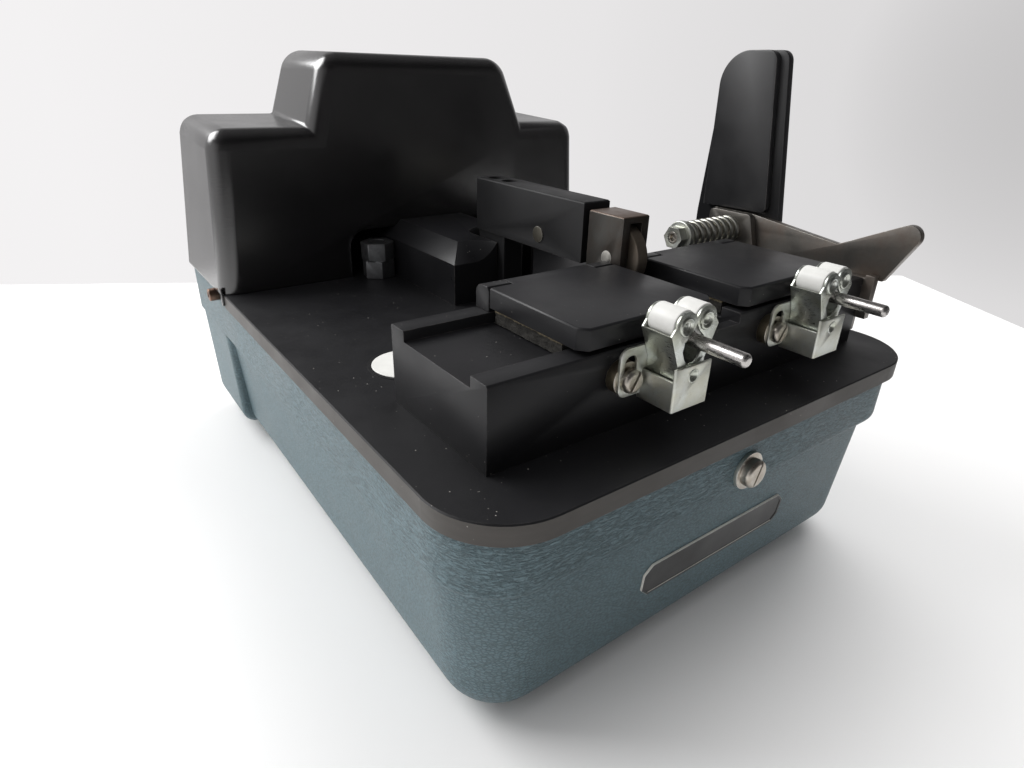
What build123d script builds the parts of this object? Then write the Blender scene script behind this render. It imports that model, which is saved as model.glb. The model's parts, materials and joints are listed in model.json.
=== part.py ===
"""Film splicer: two clamps hold the film in a channel, and a travelling arm rolls a weld wheel across it.

Frame: X right along the table's front edge, Y back, Z up, millimetres. The origin is on the floor,
under the middle of the whole part.
"""

import os
from math import acos, asin, cos, degrees, pi, radians, sin, sqrt, tan

from build123d import *

os.makedirs("parts", exist_ok=True)

# Film, and the running clearances that the fits share
film_width = 35.0
film_clearance = 0.4
shaft_clearance = 0.05
curved_gap = 0.3
side_gap = 0.3
screw_clearance = 0.25

# Table plate
table_width = 203.2
table_thickness = 6.35
table_front_corner = 24.0
plate_clearance = 0.2

# Base pan, moulded in one shell that narrows towards the floor
pan_height = 73.0
pan_wall = 3.0
pan_side_inset = 0.8
pan_front_inset = 3.2
pan_rear = 281.0
band_height = 20.0
band_corner = 22.0
band_edge = 3.0
pan_rear_corner = 10.0
rim_start = 209.0
pan_step = 2.9
pan_draft = 4.5
pan_floor_edge = 12.0
tail_length = 58.0
tail_inset = 0.6
tail_draft = 2.0

# Feet
foot_height = 4.0
foot_radius = 9.5
foot_taper = 1.0
foot_spacing_x = 148.0
foot_front = 34.0
foot_rear = 254.0
foot_recess_radius = 4.4
foot_recess_depth = 2.2

# Rear cover, drape-formed sheet
cover_wall = 2.5
cover_overhang = 1.0
cover_tab = 5.0
cover_front = 204.0
cover_rear = 280.0
cover_shoulder = 68.5
cover_shoulder_rise = 4.5
cover_top = 98.8
cover_top_rise = 1.8
cover_edge = 7.0
cover_crest = 8.0
cover_valley = 1.5
cover_side_draft = 4.5
cover_rear_draft = 11.0
hump_left = 46.5
hump_left_draft = 16.0
hump_right = 163.5
hump_right_draft = 24.0
mouth_width = 93.5
mouth_height = 22.0
mouth_corner = 8.0
mouth_lip = 7.0
mouth_edge = 2.0

# Film block and its channel
block_left = 17.9
block_right = 189.8
block_front = 22.3
block_rear = 72.9
block_height = 25.4
channel_depth = 3.4
rear_rail = 7.8
block_edge = 0.5

# Weld line, between the two clamps
weld_offset = 6.15
weld_slot_width = 13.6
weld_web = 3.9
film_thickness = 0.15

# Clamp plates with their pads, strike rods and hinges
clamp_width = 52.5
clamp_gap = 15.5
clamp_thickness = 6.4
clamp_rise = 1.5
clamp_front = 22.4
clamp_corner = 2.6
clamp_edge = 0.5
hinge_line = 69.7
knuckle_radius = 3.2
ear_width = 8.6
ear_play = 0.4
ear_clearance = 0.1
pin_radius = 2.0
pin_inset = 2.5
pad_inset = 2.4
pad_end_gap = 1.2
strike_rod_radius = 1.9
strike_rod_overhang = 8.8
strike_rod_socket = 10.0

# Twin roller catches
catch_width = 14.5
catch_front = 6.4
catch_floor = 10.8
catch_face_top = 23.4
catch_side_top = 19.6
catch_sheet = 0.9
catch_standoff = 3.2
catch_tab_reach = 8.6
catch_tab_low = 12.4
catch_tab_high = 26.8
catch_tab_corner = 3.0
catch_screw_reach = 4.6
catch_screw_height = 17.4
catch_slot_low = 14.6
catch_slot_high = 24.6
catch_pivot_height = 20.3
catch_pivot_radius = 1.25
jaw_sheet = 0.8
jaw_play = 0.1
roller_radius = 4.3
rivet_radius = 1.3
rivet_head_radius = 2.1
rivet_head_height = 0.5
catch_spring_wire = 0.9
catch_spring_turns = 3

# Screws
screw_radius = 2.1
catch_screw_head = 3.5
catch_screw_head_height = 2.4
catch_screw_length = 12.0
catch_washer_radius = 5.0
catch_washer_count = 3
slot_width = 1.0
slot_depth = 1.1
pan_screw_x = 103.8
pan_screw_drop = 12.3
pan_screw_head = 4.8
pan_screw_head_height = 3.2
pan_screw_length = 13.0
pan_washer_radius = 6.4
pan_washer_thickness = 1.2
lug_width = 18.0
lug_depth = 10.0
lug_height = 18.0
lug_chamfer = 4.5
side_screw_y = 221.0
side_screw_radius = 1.6
side_screw_head = 2.9
side_screw_head_height = 4.6
side_screw_socket = 1.5
side_screw_length = 9.0

# Travelling arm, its fork and weld wheel
arm_width = 12.7
arm_height = 22.2
arm_top = 51.0
arm_front = 84.6
arm_rear = 155.5
arm_screw_spacing = 10.0
arm_screw_end = 6.0
arm_screw_head = 3.6
arm_screw_head_height = 4.0
arm_pin_radius = 3.2
arm_pin_back = 26.0
arm_pin_height = 5.8
set_screw_radius = 1.5
fork_gap = 2.9
fork_length = 17.2
fork_width = 12.4
fork_drop = 2.0
fork_slot_width = 5.6
fork_slot_clearance = 0.7
stem_width = 7.0
stem_height = 4.4
stem_length = 11.0
stem_drop = 4.6
wheel_radius = 11.9
wheel_width = 4.8
wheel_pin_radius = 2.4
wheel_line = 71.5
arm_travel = 38.0

# Carriage below the table: riser, slide block, beam and horn clamp
riser_width = 10.5
riser_length = 20.0
table_slot_width = 14.0
carriage_width = 59.5
carriage_length = 56.0
carriage_height = 20.0
carriage_drop = 6.6
beam_width = 17.5
rod_spacing = 40.0
guide_rod_radius = 4.0
rod_front = 60.0
rod_rear = 236.0
rod_bracket_width = 12.0
rod_bracket_length = 10.0
rod_bracket_height = 24.0
horn_tip_radius = 3.6
horn_body_radius = 9.0
horn_flange_radius = 11.0
horn_ring_radius = 13.0
horn_throat = 17.0
horn_shoulder = 28.0
horn_length = 60.0
transducer_radius = 11.0
transducer_length = 34.0

# Rack and pinion drive
tooth_module = 1.0
pinion_teeth = 16
tooth_play = 0.22
rack_width = 8.0
rack_offset = 24.0
pinion_setback = 6.0
drive_shaft_radius = 3.0
shaft_depth = 10.0
motor_standoff = 3.0
motor_face = 150.0
gearbox_radius = 18.0
gearbox_length = 18.0
motor_radius = 15.0
motor_length = 22.0
bracket_sheet = 3.0
bracket_foot = 15.0

# Guide block behind the arm
guide_width = 42.5
guide_front = 140.0
guide_rear = 222.0
guide_height = 20.0
guide_slot_width = 19.5
guide_slot_end = 170.0
guide_bevel = 2.3

# Stop stud with two jam nuts
stud_x = 72.3
stud_y = 200.0
stud_radius = 4.0
nut_flats = 14.0
nut_height = 8.6
stud_height = 17.0

# Start button
button_x = 33.5
button_y = 96.0
button_radius = 12.0
button_rim = 1.4
button_height = 7.0
button_proud = 0.4
button_travel = 1.5
bezel_depth = 12.0
bezel_shelf = 1.5
switch_width = 20.0
switch_depth = 10.0
switch_height = 12.0
switch_pin_radius = 1.5

# Knife at the right-hand end
blade_thickness = 3.2
blade_gap = 0.05
blade_ear_corner = 2.0
blade_tip = 4.2
lever_crown = 13.0
lever_corner = 4.5
knife_pivot_y = 84.0
knife_pivot_z = 32.8
pivot_radius = 2.5
knife_spring_radius = 4.9
knife_spring_wire = 2.0
knife_spring_turns = 8
knife_spring_length = 33.0
spring_end_gap = 0.3
spring_cup_radius = 6.4
spring_cup_length = 7.0
pivot_head_radius = 4.4
pivot_head_length = 4.2
pivot_socket = 3.0
pivot_nut_radius = 4.8
pivot_nut_length = 4.0
pivot_bore = 1.4
spring_washer = 2.0
blade_screw_radius = 1.6
blade_screw_head = 3.0

# Electrical pieces inside
board_width = 58.0
board_length = 128.0
board_thickness = 1.6
board_height = 12.0
board_x = 50.0
board_y = 126.0
standoff_radius = 3.0
core_width = 50.0
core_depth = 22.0
core_height = 44.0
coil_width = 38.0
coil_depth = 34.0
coil_height = 30.0
core_back = 250.0
core_inset = 47.45
inlet_width = 30.0
inlet_height = 23.0
inlet_flange = 2.0
inlet_depth = 20.0
inlet_cavity_width = 24.0
inlet_cavity_height = 16.4
inlet_cavity_depth = 15.0
inlet_x = 40.0
inlet_drop = 42.0

# Nameplate, left blank
plate_width = 72.0
plate_height = 12.8
plate_clip = 3.2
plate_thickness = 0.8
plate_border = 1.0
plate_drop = 43.4
plate_x = 102.8

# Places in the frame that follow from the sizes above
overall_depth = strike_rod_overhang + pan_rear + inlet_flange
left = -table_width / 2
front = strike_rod_overhang - overall_depth / 2
pan_bottom = foot_height
table_bottom = pan_bottom + pan_height
table_top = table_bottom + table_thickness
channel_width = film_width + film_clearance
channel_floor = table_top + block_height - channel_depth
rail_front = front + block_rear - rear_rail
weld_x = weld_offset
clamp_bottom = table_top + block_height + clamp_rise
clamp_top = clamp_bottom + clamp_thickness
hinge_y = front + hinge_line
hinge_z = clamp_top - knuckle_radius
clamp_pitch = (clamp_width + clamp_gap) / 2
sides = (("left", weld_x - clamp_pitch), ("right", weld_x + clamp_pitch))
roller_spread = roller_radius + curved_gap / 2
strike_rod_z = clamp_bottom + clamp_thickness / 2 - 0.1
roller_reach = roller_radius + strike_rod_radius + curved_gap
roller_z = strike_rod_z + sqrt(roller_reach**2 - roller_spread**2)


def across(x):
    """Plane that faces +X, whose own axes are Y and Z."""
    return Plane.YZ.offset(x)


def along(y):
    """Plane at y that faces -Y, whose own axes are X and Z."""
    return Plane.XZ.offset(-y)


def level(z):
    return Plane.XY.offset(z)


def save(piece, name):
    """Labels a finished piece and writes it as parts/name.step."""
    piece.label = name
    export_step(piece, f"parts/{name}.step")


def rounded_plan(width, y0, y1, front_radius, rear_radius):
    """Rectangle about X = 0 from y0 to y1, with its own front and rear corner radii."""
    with BuildSketch() as plan:
        with Locations((0, (y0 + y1) / 2)):
            Rectangle(width, y1 - y0)
        fillet(plan.vertices().group_by(Axis.Y)[0], front_radius)
        fillet(plan.vertices().group_by(Axis.Y)[-1], rear_radius)
    return plan.sketch


def block(x0, x1, y0, y1, z0, z1, mode=Mode.ADD):
    """Rectangular block between two corners, combined with the part being built."""
    with Locations(((x0 + x1) / 2, (y0 + y1) / 2, (z0 + z1) / 2)):
        Box(x1 - x0, y1 - y0, z1 - z0, mode=mode)


# --- Base pan -------------------------------------------------------------------------------------


def pan_form(wall, floor):
    """Solid outer form of the pan, drawn in by a wall thickness, with its bottom at floor."""
    side = pan_side_inset + wall
    y0 = front + pan_front_inset + wall
    y1 = front + pan_rear - wall
    width = table_width - 2 * side
    body_top = table_bottom - band_height + band_edge
    body_drop = body_top - floor
    with BuildPart() as form:
        with BuildSketch(level(table_bottom)):
            add(rounded_plan(width, y0, y1, band_corner - wall, pan_rear_corner - wall))
        extrude(amount=-band_height + wall)
        fillet(form.edges().group_by(Axis.Z)[0], band_edge)
    with BuildPart() as body:
        with BuildSketch(level(body_top)):
            inner = width - 2 * pan_step
            corner = band_corner - wall
            add(rounded_plan(inner, y0 + pan_step, y1 - pan_step, corner, pan_rear_corner - wall))
        extrude(amount=-body_drop, taper=pan_draft)
        fillet(body.edges().group_by(Axis.Z)[0], pan_floor_edge - wall)
    with BuildPart() as tail:
        with BuildSketch(level(body_top)):
            tail_width = width - 2 * tail_inset
            corner = pan_rear_corner - wall
            add(rounded_plan(tail_width, front + pan_rear - tail_length + wall, y1 - pan_step, 4.0, corner))
        extrude(amount=-body_drop, taper=tail_draft)
        fillet(tail.edges().group_by(Axis.Z)[0], pan_floor_edge - wall)
    with BuildPart() as whole:
        add(form.part)
        add(body.part)
        add(tail.part)
    return whole.part


pan_screw_place = left + pan_screw_x
pan_screw_z = table_bottom - pan_screw_drop
foot_places = [
    (side * foot_spacing_x / 2, front + y) for side in (-1, 1) for y in (foot_front, foot_rear)
]
inlet_place = left + inlet_x
inlet_z = table_bottom - inlet_drop

with BuildPart() as base_pan:
    add(pan_form(0, pan_bottom))
    add(pan_form(pan_wall, pan_bottom + pan_wall), mode=Mode.SUBTRACT)
    with BuildSketch(along(front)):
        with Locations((pan_screw_place, pan_screw_z)):
            Circle(screw_radius + screw_clearance)
    extrude(amount=-lug_depth, mode=Mode.SUBTRACT)
    with BuildSketch(level(pan_bottom)):
        with Locations(*foot_places):
            Circle(screw_radius + screw_clearance)
    extrude(amount=pan_wall, mode=Mode.SUBTRACT)
    with BuildSketch(along(front + pan_rear)):
        with Locations((inlet_place, inlet_z)):
            Rectangle(inlet_width - 4 + side_gap, inlet_height - 4 + side_gap)
    extrude(amount=3 * pan_wall, mode=Mode.SUBTRACT)
    with BuildSketch(level(table_bottom)):
        rim_width = table_width - 2 * pan_side_inset
        pan_y0 = front + pan_front_inset
        pan_y1 = front + pan_rear
        add(rounded_plan(rim_width, pan_y0, pan_y1, band_corner, pan_rear_corner))
        add(
            rounded_plan(rim_width - 2 * pan_wall, pan_y0 + pan_wall, pan_y1 - pan_wall,
                         band_corner - pan_wall, pan_rear_corner - pan_wall),
            mode=Mode.SUBTRACT,
        )
        with Locations((0, (pan_y0 + front + rim_start) / 2)):
            Rectangle(table_width, front + rim_start - pan_y0, mode=Mode.SUBTRACT)
    extrude(amount=table_thickness)
    for side in (-1, 1):
        with BuildSketch(across(side * (table_width / 2 - pan_side_inset))):
            with Locations((front + side_screw_y, table_top - table_thickness / 2)):
                Circle(side_screw_radius + screw_clearance)
        extrude(amount=-side * pan_wall, mode=Mode.SUBTRACT)
save(base_pan.part, "base_pan")

with BuildPart() as rubber_feet:
    for place in foot_places:
        with BuildSketch(Plane((*place, foot_height), z_dir=(0, 0, -1))):
            Circle(foot_radius)
        extrude(amount=foot_height, taper=degrees(asin(foot_taper / foot_height / 2)))
    with BuildSketch():
        with Locations(*foot_places):
            Circle(foot_recess_radius)
    extrude(amount=foot_recess_depth, mode=Mode.SUBTRACT)
    with BuildSketch():
        with Locations(*foot_places):
            Circle(screw_radius + screw_clearance)
    extrude(amount=foot_height, mode=Mode.SUBTRACT)
save(rubber_feet.part, "rubber_feet")

with BuildPart() as foot_screws:
    with BuildSketch(level(foot_recess_depth)):
        with Locations(*foot_places):
            Circle(catch_screw_head)
    extrude(amount=-1.6)
    with BuildSketch(level(foot_recess_depth)):
        with Locations(*foot_places):
            Circle(screw_radius)
    extrude(amount=foot_height - foot_recess_depth + pan_wall)
save(foot_screws.part, "foot_screws")

# --- Pan screw with its washer ----------------------------------------------------------------------

pan_face = front + pan_front_inset
lug_front = pan_face + pan_wall + side_gap

def slotted_screw(face_y, x, z, head_radius, head_height, length, slot_turn):
    """Pan-head screw that points along +Y, with the underside of its head at face_y."""
    with BuildPart() as screw:
        with BuildSketch(along(face_y)):
            with Locations((x, z)):
                Circle(head_radius)
        extrude(amount=head_height)
        fillet(screw.edges().group_by(Axis.Y)[0], head_height * 0.45)
        with BuildSketch(along(face_y - head_height)):
            with Locations((x, z)):
                Rectangle(2 * head_radius + 1, slot_width, rotation=slot_turn)
        extrude(amount=-slot_depth, mode=Mode.SUBTRACT)
        with BuildSketch(along(face_y)):
            with Locations((x, z)):
                Circle(screw_radius)
        extrude(amount=-length)
    return screw.part


with BuildPart() as pan_screw:
    add(
        slotted_screw(
            pan_face - pan_washer_thickness, pan_screw_place, pan_screw_z,
            pan_screw_head, pan_screw_head_height, pan_screw_length, 70,
        )
    )
    with BuildSketch(along(pan_face)):
        with Locations((pan_screw_place, pan_screw_z)):
            Circle(pan_washer_radius)
            Circle(screw_radius + screw_clearance, mode=Mode.SUBTRACT)
    extrude(amount=pan_washer_thickness)
save(pan_screw.part, "pan_screw")

# --- Nameplate, blank, on the drafted front face ---------------------------------------------------

plate_z = table_bottom - plate_drop
body_face_drop = table_bottom - band_height + band_edge - plate_z
plate_y = pan_face + pan_step + body_face_drop * tan(radians(pan_draft))
plate_plane = Plane(
    (left + plate_x, plate_y, plate_z), x_dir=(1, 0, 0), z_dir=(0, -cos(radians(pan_draft)), -sin(radians(pan_draft)))
)


def clipped_plate(inset):
    width = plate_width - 2 * inset
    height = plate_height - 2 * inset
    with BuildSketch() as outline:
        Rectangle(width, height)
        chamfer(outline.vertices(), plate_clip - inset * tan(radians(22.5)) * 2)
    return outline.sketch


with BuildPart() as nameplate:
    with BuildSketch(plate_plane):
        add(clipped_plate(0))
    extrude(amount=plate_thickness)
    with BuildSketch(plate_plane.offset(plate_thickness)):
        add(clipped_plate(plate_border))
    extrude(amount=-plate_thickness / 3, mode=Mode.SUBTRACT)
save(nameplate.part, "nameplate")

# --- Table plate ------------------------------------------------------------------------------------

slot_front = front + wheel_line - arm_travel - weld_slot_width / 2
slot_rear = front + arm_rear + 2
button_place = (left + button_x, front + button_y)
stud_place = (left + stud_x, front + stud_y)
bezel_radius = button_radius + shaft_clearance + button_rim
side_screw_z = table_top - table_thickness / 2
narrow_inset = pan_side_inset + pan_wall + plate_clearance

with BuildPart() as table_plate:
    with BuildSketch(level(table_bottom)):
        rear_edge = front + pan_rear - pan_wall - plate_clearance
        add(rounded_plan(table_width, front, front + rim_start, table_front_corner, 0.5))
        with Locations((0, (front + rear_edge) / 2)):
            Rectangle(table_width - 2 * narrow_inset, rear_edge - front - 2 * table_front_corner)
        with Locations((0, rear_edge - table_front_corner)):
            Rectangle(table_width - 2 * narrow_inset - 2 * pan_rear_corner, 2 * table_front_corner)
    extrude(amount=table_thickness)
    chamfer(table_plate.faces().sort_by(Axis.Z)[-1].edges(), 0.4)
    with BuildSketch(level(table_bottom)):
        with Locations((weld_x, (slot_front + slot_rear) / 2)):
            SlotOverall(slot_rear - slot_front, table_slot_width, rotation=90)
        with Locations(button_place):
            Circle(bezel_radius)
        with Locations(stud_place):
            Circle(stud_radius)
    extrude(amount=table_thickness, mode=Mode.SUBTRACT)
    for side in (-1, 1):
        with BuildSketch(across(side * (table_width / 2 - narrow_inset))):
            with Locations((front + side_screw_y, side_screw_z)):
                Circle(side_screw_radius)
        extrude(amount=-side * side_screw_length, mode=Mode.SUBTRACT)
    with BuildSketch(across(pan_screw_place - lug_width / 2)):
        with BuildLine():
            Polyline(
                (lug_front, table_bottom), (lug_front, table_bottom - lug_height + lug_chamfer),
                (lug_front + lug_chamfer, table_bottom - lug_height),
                (lug_front + lug_depth, table_bottom - lug_height), (lug_front + lug_depth, table_bottom),
                close=True,
            )
        make_face()
    extrude(amount=lug_width)
    with BuildSketch(along(lug_front)):
        with Locations((pan_screw_place, pan_screw_z)):
            Circle(screw_radius)
    extrude(amount=-lug_depth, mode=Mode.SUBTRACT)
save(table_plate.part, "table_plate")

# --- Rear cover ---------------------------------------------------------------------------------------


def cover_profile(y, wall, far):
    """Section of the cover at y, drawn in by a wall thickness; far is 0 at its front and 1 at its rear."""
    skirt = table_width / 2 + cover_overhang - wall
    shoulder = cover_shoulder + far * cover_shoulder_rise - wall
    top = cover_top + far * cover_top_rise - wall
    lean = shoulder * tan(radians(cover_side_draft))
    left_run = tan(radians(hump_left_draft))
    right_run = tan(radians(hump_right_draft))
    hump_x0 = left + hump_left + wall + (shoulder - cover_shoulder) * left_run
    hump_x1 = left + hump_right - wall - (shoulder - cover_shoulder) * right_run
    rise = top - shoulder
    with BuildSketch(along(y)) as profile:
        with BuildLine():
            Polyline(
                (-skirt, table_top), (-skirt + lean, table_top + shoulder), (hump_x0, table_top + shoulder),
                (hump_x0 + rise * left_run, table_top + top), (hump_x1 - rise * right_run, table_top + top),
                (hump_x1, table_top + shoulder), (skirt - lean, table_top + shoulder), (skirt, table_top),
                close=True,
            )
        make_face()
        above = profile.vertices().filter_by(lambda v: v.Y > table_top + 1)
        hollows = above.filter_by(lambda v: min(abs(v.X - hump_x0), abs(v.X - hump_x1)) < 0.01)
        crests = above.filter_by(lambda v: min(abs(v.X - hump_x0), abs(v.X - hump_x1)) > 0.01)
        fillet(hollows, cover_valley + wall)
        fillet(crests, cover_crest - wall)
    return profile.sketch


def cover_form(wall):
    """Outer form of the cover, drawn in by a wall thickness: shoulders, hump and leaning rear."""
    with BuildPart() as form:
        for y, far in ((cover_front + wall, 0), (cover_rear, 1)):
            add(cover_profile(front + y, wall, far))
        loft(ruled=True)
        back = radians(cover_rear_draft)
        rear_foot = (0, front + cover_rear - wall, table_top)
        rear_plane = Plane(rear_foot, x_dir=(1, 0, 0), z_dir=(0, cos(back), sin(back)))
        split(bisect_by=rear_plane, keep=Keep.BOTTOM)
        front_face = form.faces().sort_by(Axis.Y)[0]
        rear_face = form.faces().filter_by(lambda f: abs(f.normal_at().Z - sin(back)) < 0.01)
        rear_face = rear_face.sort_by(Axis.Y)[-1]
        for face in (front_face, rear_face):
            rims = face.edges().filter_by(lambda e: e.bounding_box().max.Z > table_top + 0.01)
            fillet(rims, cover_edge - wall)
    return form.part


mouth_top = table_top + mouth_height


def mouth_outline(grow):
    with BuildSketch() as outline:
        with Locations((weld_x, (table_top + mouth_top + grow) / 2)):
            Rectangle(mouth_width + 2 * grow, mouth_top + grow - table_top)
        fillet(outline.vertices().group_by(Axis.Y)[-1], mouth_corner + grow)
    return outline.sketch


with BuildPart() as rear_cover:
    add(cover_form(0))
    add(cover_form(cover_wall), mode=Mode.SUBTRACT)
    with BuildSketch(along(front + cover_front)):
        add(mouth_outline(cover_wall))
    extrude(amount=-mouth_lip)
    with BuildSketch(along(front + cover_front)):
        add(mouth_outline(0))
    extrude(amount=-mouth_lip, mode=Mode.SUBTRACT)
    for side in (-1, 1):
        tab_in = side * (table_width / 2 + plate_clearance)
        tab_out = side * (table_width / 2 + cover_overhang)
        tab_y1 = front + rim_start - side_gap
        block(
            min(tab_in, tab_out), max(tab_in, tab_out), tab_y1 - 2.0, tab_y1,
            table_top - cover_tab, table_top + 3.0,
        )
save(rear_cover.part, "rear_cover")

with BuildPart() as side_screws:
    for side in (-1, 1):
        rim_face = side * (table_width / 2 - pan_side_inset)
        with BuildSketch(across(rim_face)):
            with Locations((front + side_screw_y, side_screw_z)):
                Circle(side_screw_head)
        extrude(amount=side * side_screw_head_height)
        with BuildSketch(across(rim_face + side * side_screw_head_height)):
            with Locations((front + side_screw_y, side_screw_z)):
                RegularPolygon(side_screw_socket, 6)
        extrude(amount=-side * side_screw_head_height / 2, mode=Mode.SUBTRACT)
        with BuildSketch(across(rim_face)):
            with Locations((front + side_screw_y, side_screw_z)):
                Circle(side_screw_radius)
        extrude(amount=-side * side_screw_length)
    rims = side_screws.edges().filter_by(GeomType.CIRCLE).filter_by(lambda e: abs(e.radius - side_screw_head) < 0.01)
    fillet(rims.group_by(Axis.X)[0] + rims.group_by(Axis.X)[-1], 0.6)
save(side_screws.part, "side_screws")

# --- Film block -----------------------------------------------------------------------------------------

block_x0 = left + block_left
block_x1 = left + block_right
block_y0 = front + block_front
block_y1 = front + block_rear
block_top = table_top + block_height
channel_y0 = rail_front - channel_width
slot_x0 = weld_x - weld_slot_width / 2
slot_x1 = weld_x + weld_slot_width / 2
blade_screw_places = [(block_y0 + 5, 11.0), ((block_y0 + block_y1) / 2, 9.0), (block_y1 - 6, 11.0)]

with BuildPart() as film_block:
    block(block_x0, block_x1, block_y0, block_y1, table_top, block_top)
    chamfer(film_block.edges().filter_by(Axis.X).group_by(Axis.Z)[-1], block_edge)
    with BuildSketch(across(block_x0)):
        with Locations(((channel_y0 + rail_front) / 2, block_top - channel_depth / 2)):
            Rectangle(channel_width, channel_depth)
    extrude(amount=block_x1 - block_x0, mode=Mode.SUBTRACT)
    with BuildSketch(level(channel_floor)):
        with Locations((weld_x, (block_y0 + block_y1) / 2)):
            Rectangle(weld_slot_width, block_y1 - block_y0)
    extrude(amount=channel_depth, mode=Mode.SUBTRACT)
    with BuildSketch(level(table_top)):
        with Locations((weld_x, (block_y0 + weld_web + block_y1) / 2)):
            Rectangle(weld_slot_width, block_y1 - block_y0 - weld_web)
    extrude(amount=block_height, mode=Mode.SUBTRACT)
    for name, middle in sides:
        with BuildSketch(along(block_y0)):
            tab_edge = middle - catch_width / 2
            with Locations((tab_edge - catch_screw_reach, table_top + catch_screw_height)):
                Circle(screw_radius)
        extrude(amount=-catch_screw_length, mode=Mode.SUBTRACT)
    with BuildSketch(across(block_x1)):
        with Locations(*[(y, table_top + z) for y, z in blade_screw_places]):
            Circle(blade_screw_radius)
    extrude(amount=-8, mode=Mode.SUBTRACT)
save(film_block.part, "film_block")

# --- Clamp hinges: fixed ears on the rear rail, with a pin through the plate's knuckle --------------------


def ear_profile():
    """Section of an ear: its front corner stays inside the arc that the plate's rear face sweeps."""
    sweep = hinge_y - rail_front - ear_clearance
    y0 = rail_front + ear_play
    crest = hinge_z + knuckle_radius
    with BuildSketch() as profile:
        with BuildLine():
            Polyline((hinge_y, crest), (hinge_y - sqrt(sweep**2 - knuckle_radius**2), crest),
                     (y0, hinge_z + sqrt(sweep**2 - (hinge_y - y0) ** 2)), (y0, block_top),
                     (hinge_y + knuckle_radius, block_top), (hinge_y + knuckle_radius, hinge_z))
            JernArc((hinge_y + knuckle_radius, hinge_z), (0, 1), knuckle_radius, 90)
        make_face()
    return profile.sketch


with BuildPart() as hinge_ears:
    for name, middle in sides:
        for x in (middle - clamp_width / 2, middle + clamp_width / 2 - ear_width):
            with BuildSketch(across(x)):
                add(ear_profile())
            extrude(amount=ear_width)
    for name, middle in sides:
        with BuildSketch(across(middle - clamp_width / 2 + pin_inset)):
            with Locations((hinge_y, hinge_z)):
                Circle(pin_radius)
        extrude(amount=clamp_width - 2 * pin_inset, mode=Mode.SUBTRACT)
save(hinge_ears.part, "hinge_ears")

with BuildPart() as hinge_pins:
    for name, middle in sides:
        with BuildSketch(across(middle - clamp_width / 2 + pin_inset)):
            with Locations((hinge_y, hinge_z)):
                Circle(pin_radius)
        extrude(amount=clamp_width - 2 * pin_inset)
save(hinge_pins.part, "hinge_pins")

clamp_y0 = front + clamp_front
clamp_y1 = rail_front
strike_rod_end = front - strike_rod_overhang

for name, middle in sides:
    x0 = middle - clamp_width / 2
    x1 = middle + clamp_width / 2
    with BuildPart() as clamp_plate:
        with BuildSketch(level(clamp_bottom)) as plan:
            with Locations((middle, (clamp_y0 + clamp_y1) / 2)):
                Rectangle(clamp_width, clamp_y1 - clamp_y0)
            chamfer(plan.vertices().group_by(Axis.Y)[0], clamp_corner)
        extrude(amount=clamp_thickness)
        chamfer(clamp_plate.faces().sort_by(Axis.Z)[-1].edges().sort_by(Axis.Y)[:-1], clamp_edge)
        knuckle_width = clamp_width - 2 * (ear_width + side_gap)
        with BuildSketch(across(middle - knuckle_width / 2)):
            with Locations((hinge_y, hinge_z)):
                Circle(knuckle_radius)
            with Locations(((clamp_y1 + hinge_y) / 2, (clamp_bottom + clamp_top) / 2)):
                Rectangle(hinge_y - clamp_y1, clamp_thickness)
        extrude(amount=knuckle_width)
        with BuildSketch(across(middle - knuckle_width / 2)):
            with Locations((hinge_y, hinge_z)):
                Circle(pin_radius + shaft_clearance)
        extrude(amount=knuckle_width, mode=Mode.SUBTRACT)
        with BuildSketch(along(clamp_y0)):
            with Locations((middle, strike_rod_z)):
                Circle(strike_rod_radius)
        extrude(amount=-strike_rod_socket, mode=Mode.SUBTRACT)
    save(clamp_plate.part, f"clamp_plate_{name}")

    with BuildPart() as clamp_pad:
        pad_bottom = channel_floor + curved_gap
        block(
            x0 + pad_inset, x1 - pad_inset, channel_y0 + pad_end_gap, rail_front - pad_end_gap,
            pad_bottom, clamp_bottom,
        )
        fillet(clamp_pad.edges().filter_by(Axis.Z), 1.0)
    save(clamp_pad.part, f"clamp_pad_{name}")

    with BuildPart() as strike_rod:
        with BuildSketch(along(clamp_y0 + strike_rod_socket)):
            with Locations((middle, strike_rod_z)):
                Circle(strike_rod_radius)
        extrude(amount=clamp_y0 + strike_rod_socket - strike_rod_end)
        fillet(strike_rod.edges().group_by(Axis.Y)[0], 1.1)
    save(strike_rod.part, f"strike_rod_{name}")

# --- Twin roller catches -------------------------------------------------------------------------------------


def helix_points(radius, pitch, turns, start):
    """Points and unit tangents a quarter turn apart on a helix about the X axis."""
    slope = pitch / (2 * pi)
    speed = sqrt(radius**2 + slope**2)
    found = []
    for quarter in range(round(turns * 4) + 1):
        turn = quarter * pi / 2
        point = Vector(start + slope * turn, radius * cos(turn), radius * sin(turn))
        tangent = Vector(slope, -radius * sin(turn), radius * cos(turn)) * (1 / speed)
        found.append((point, tangent))
    return found


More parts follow.
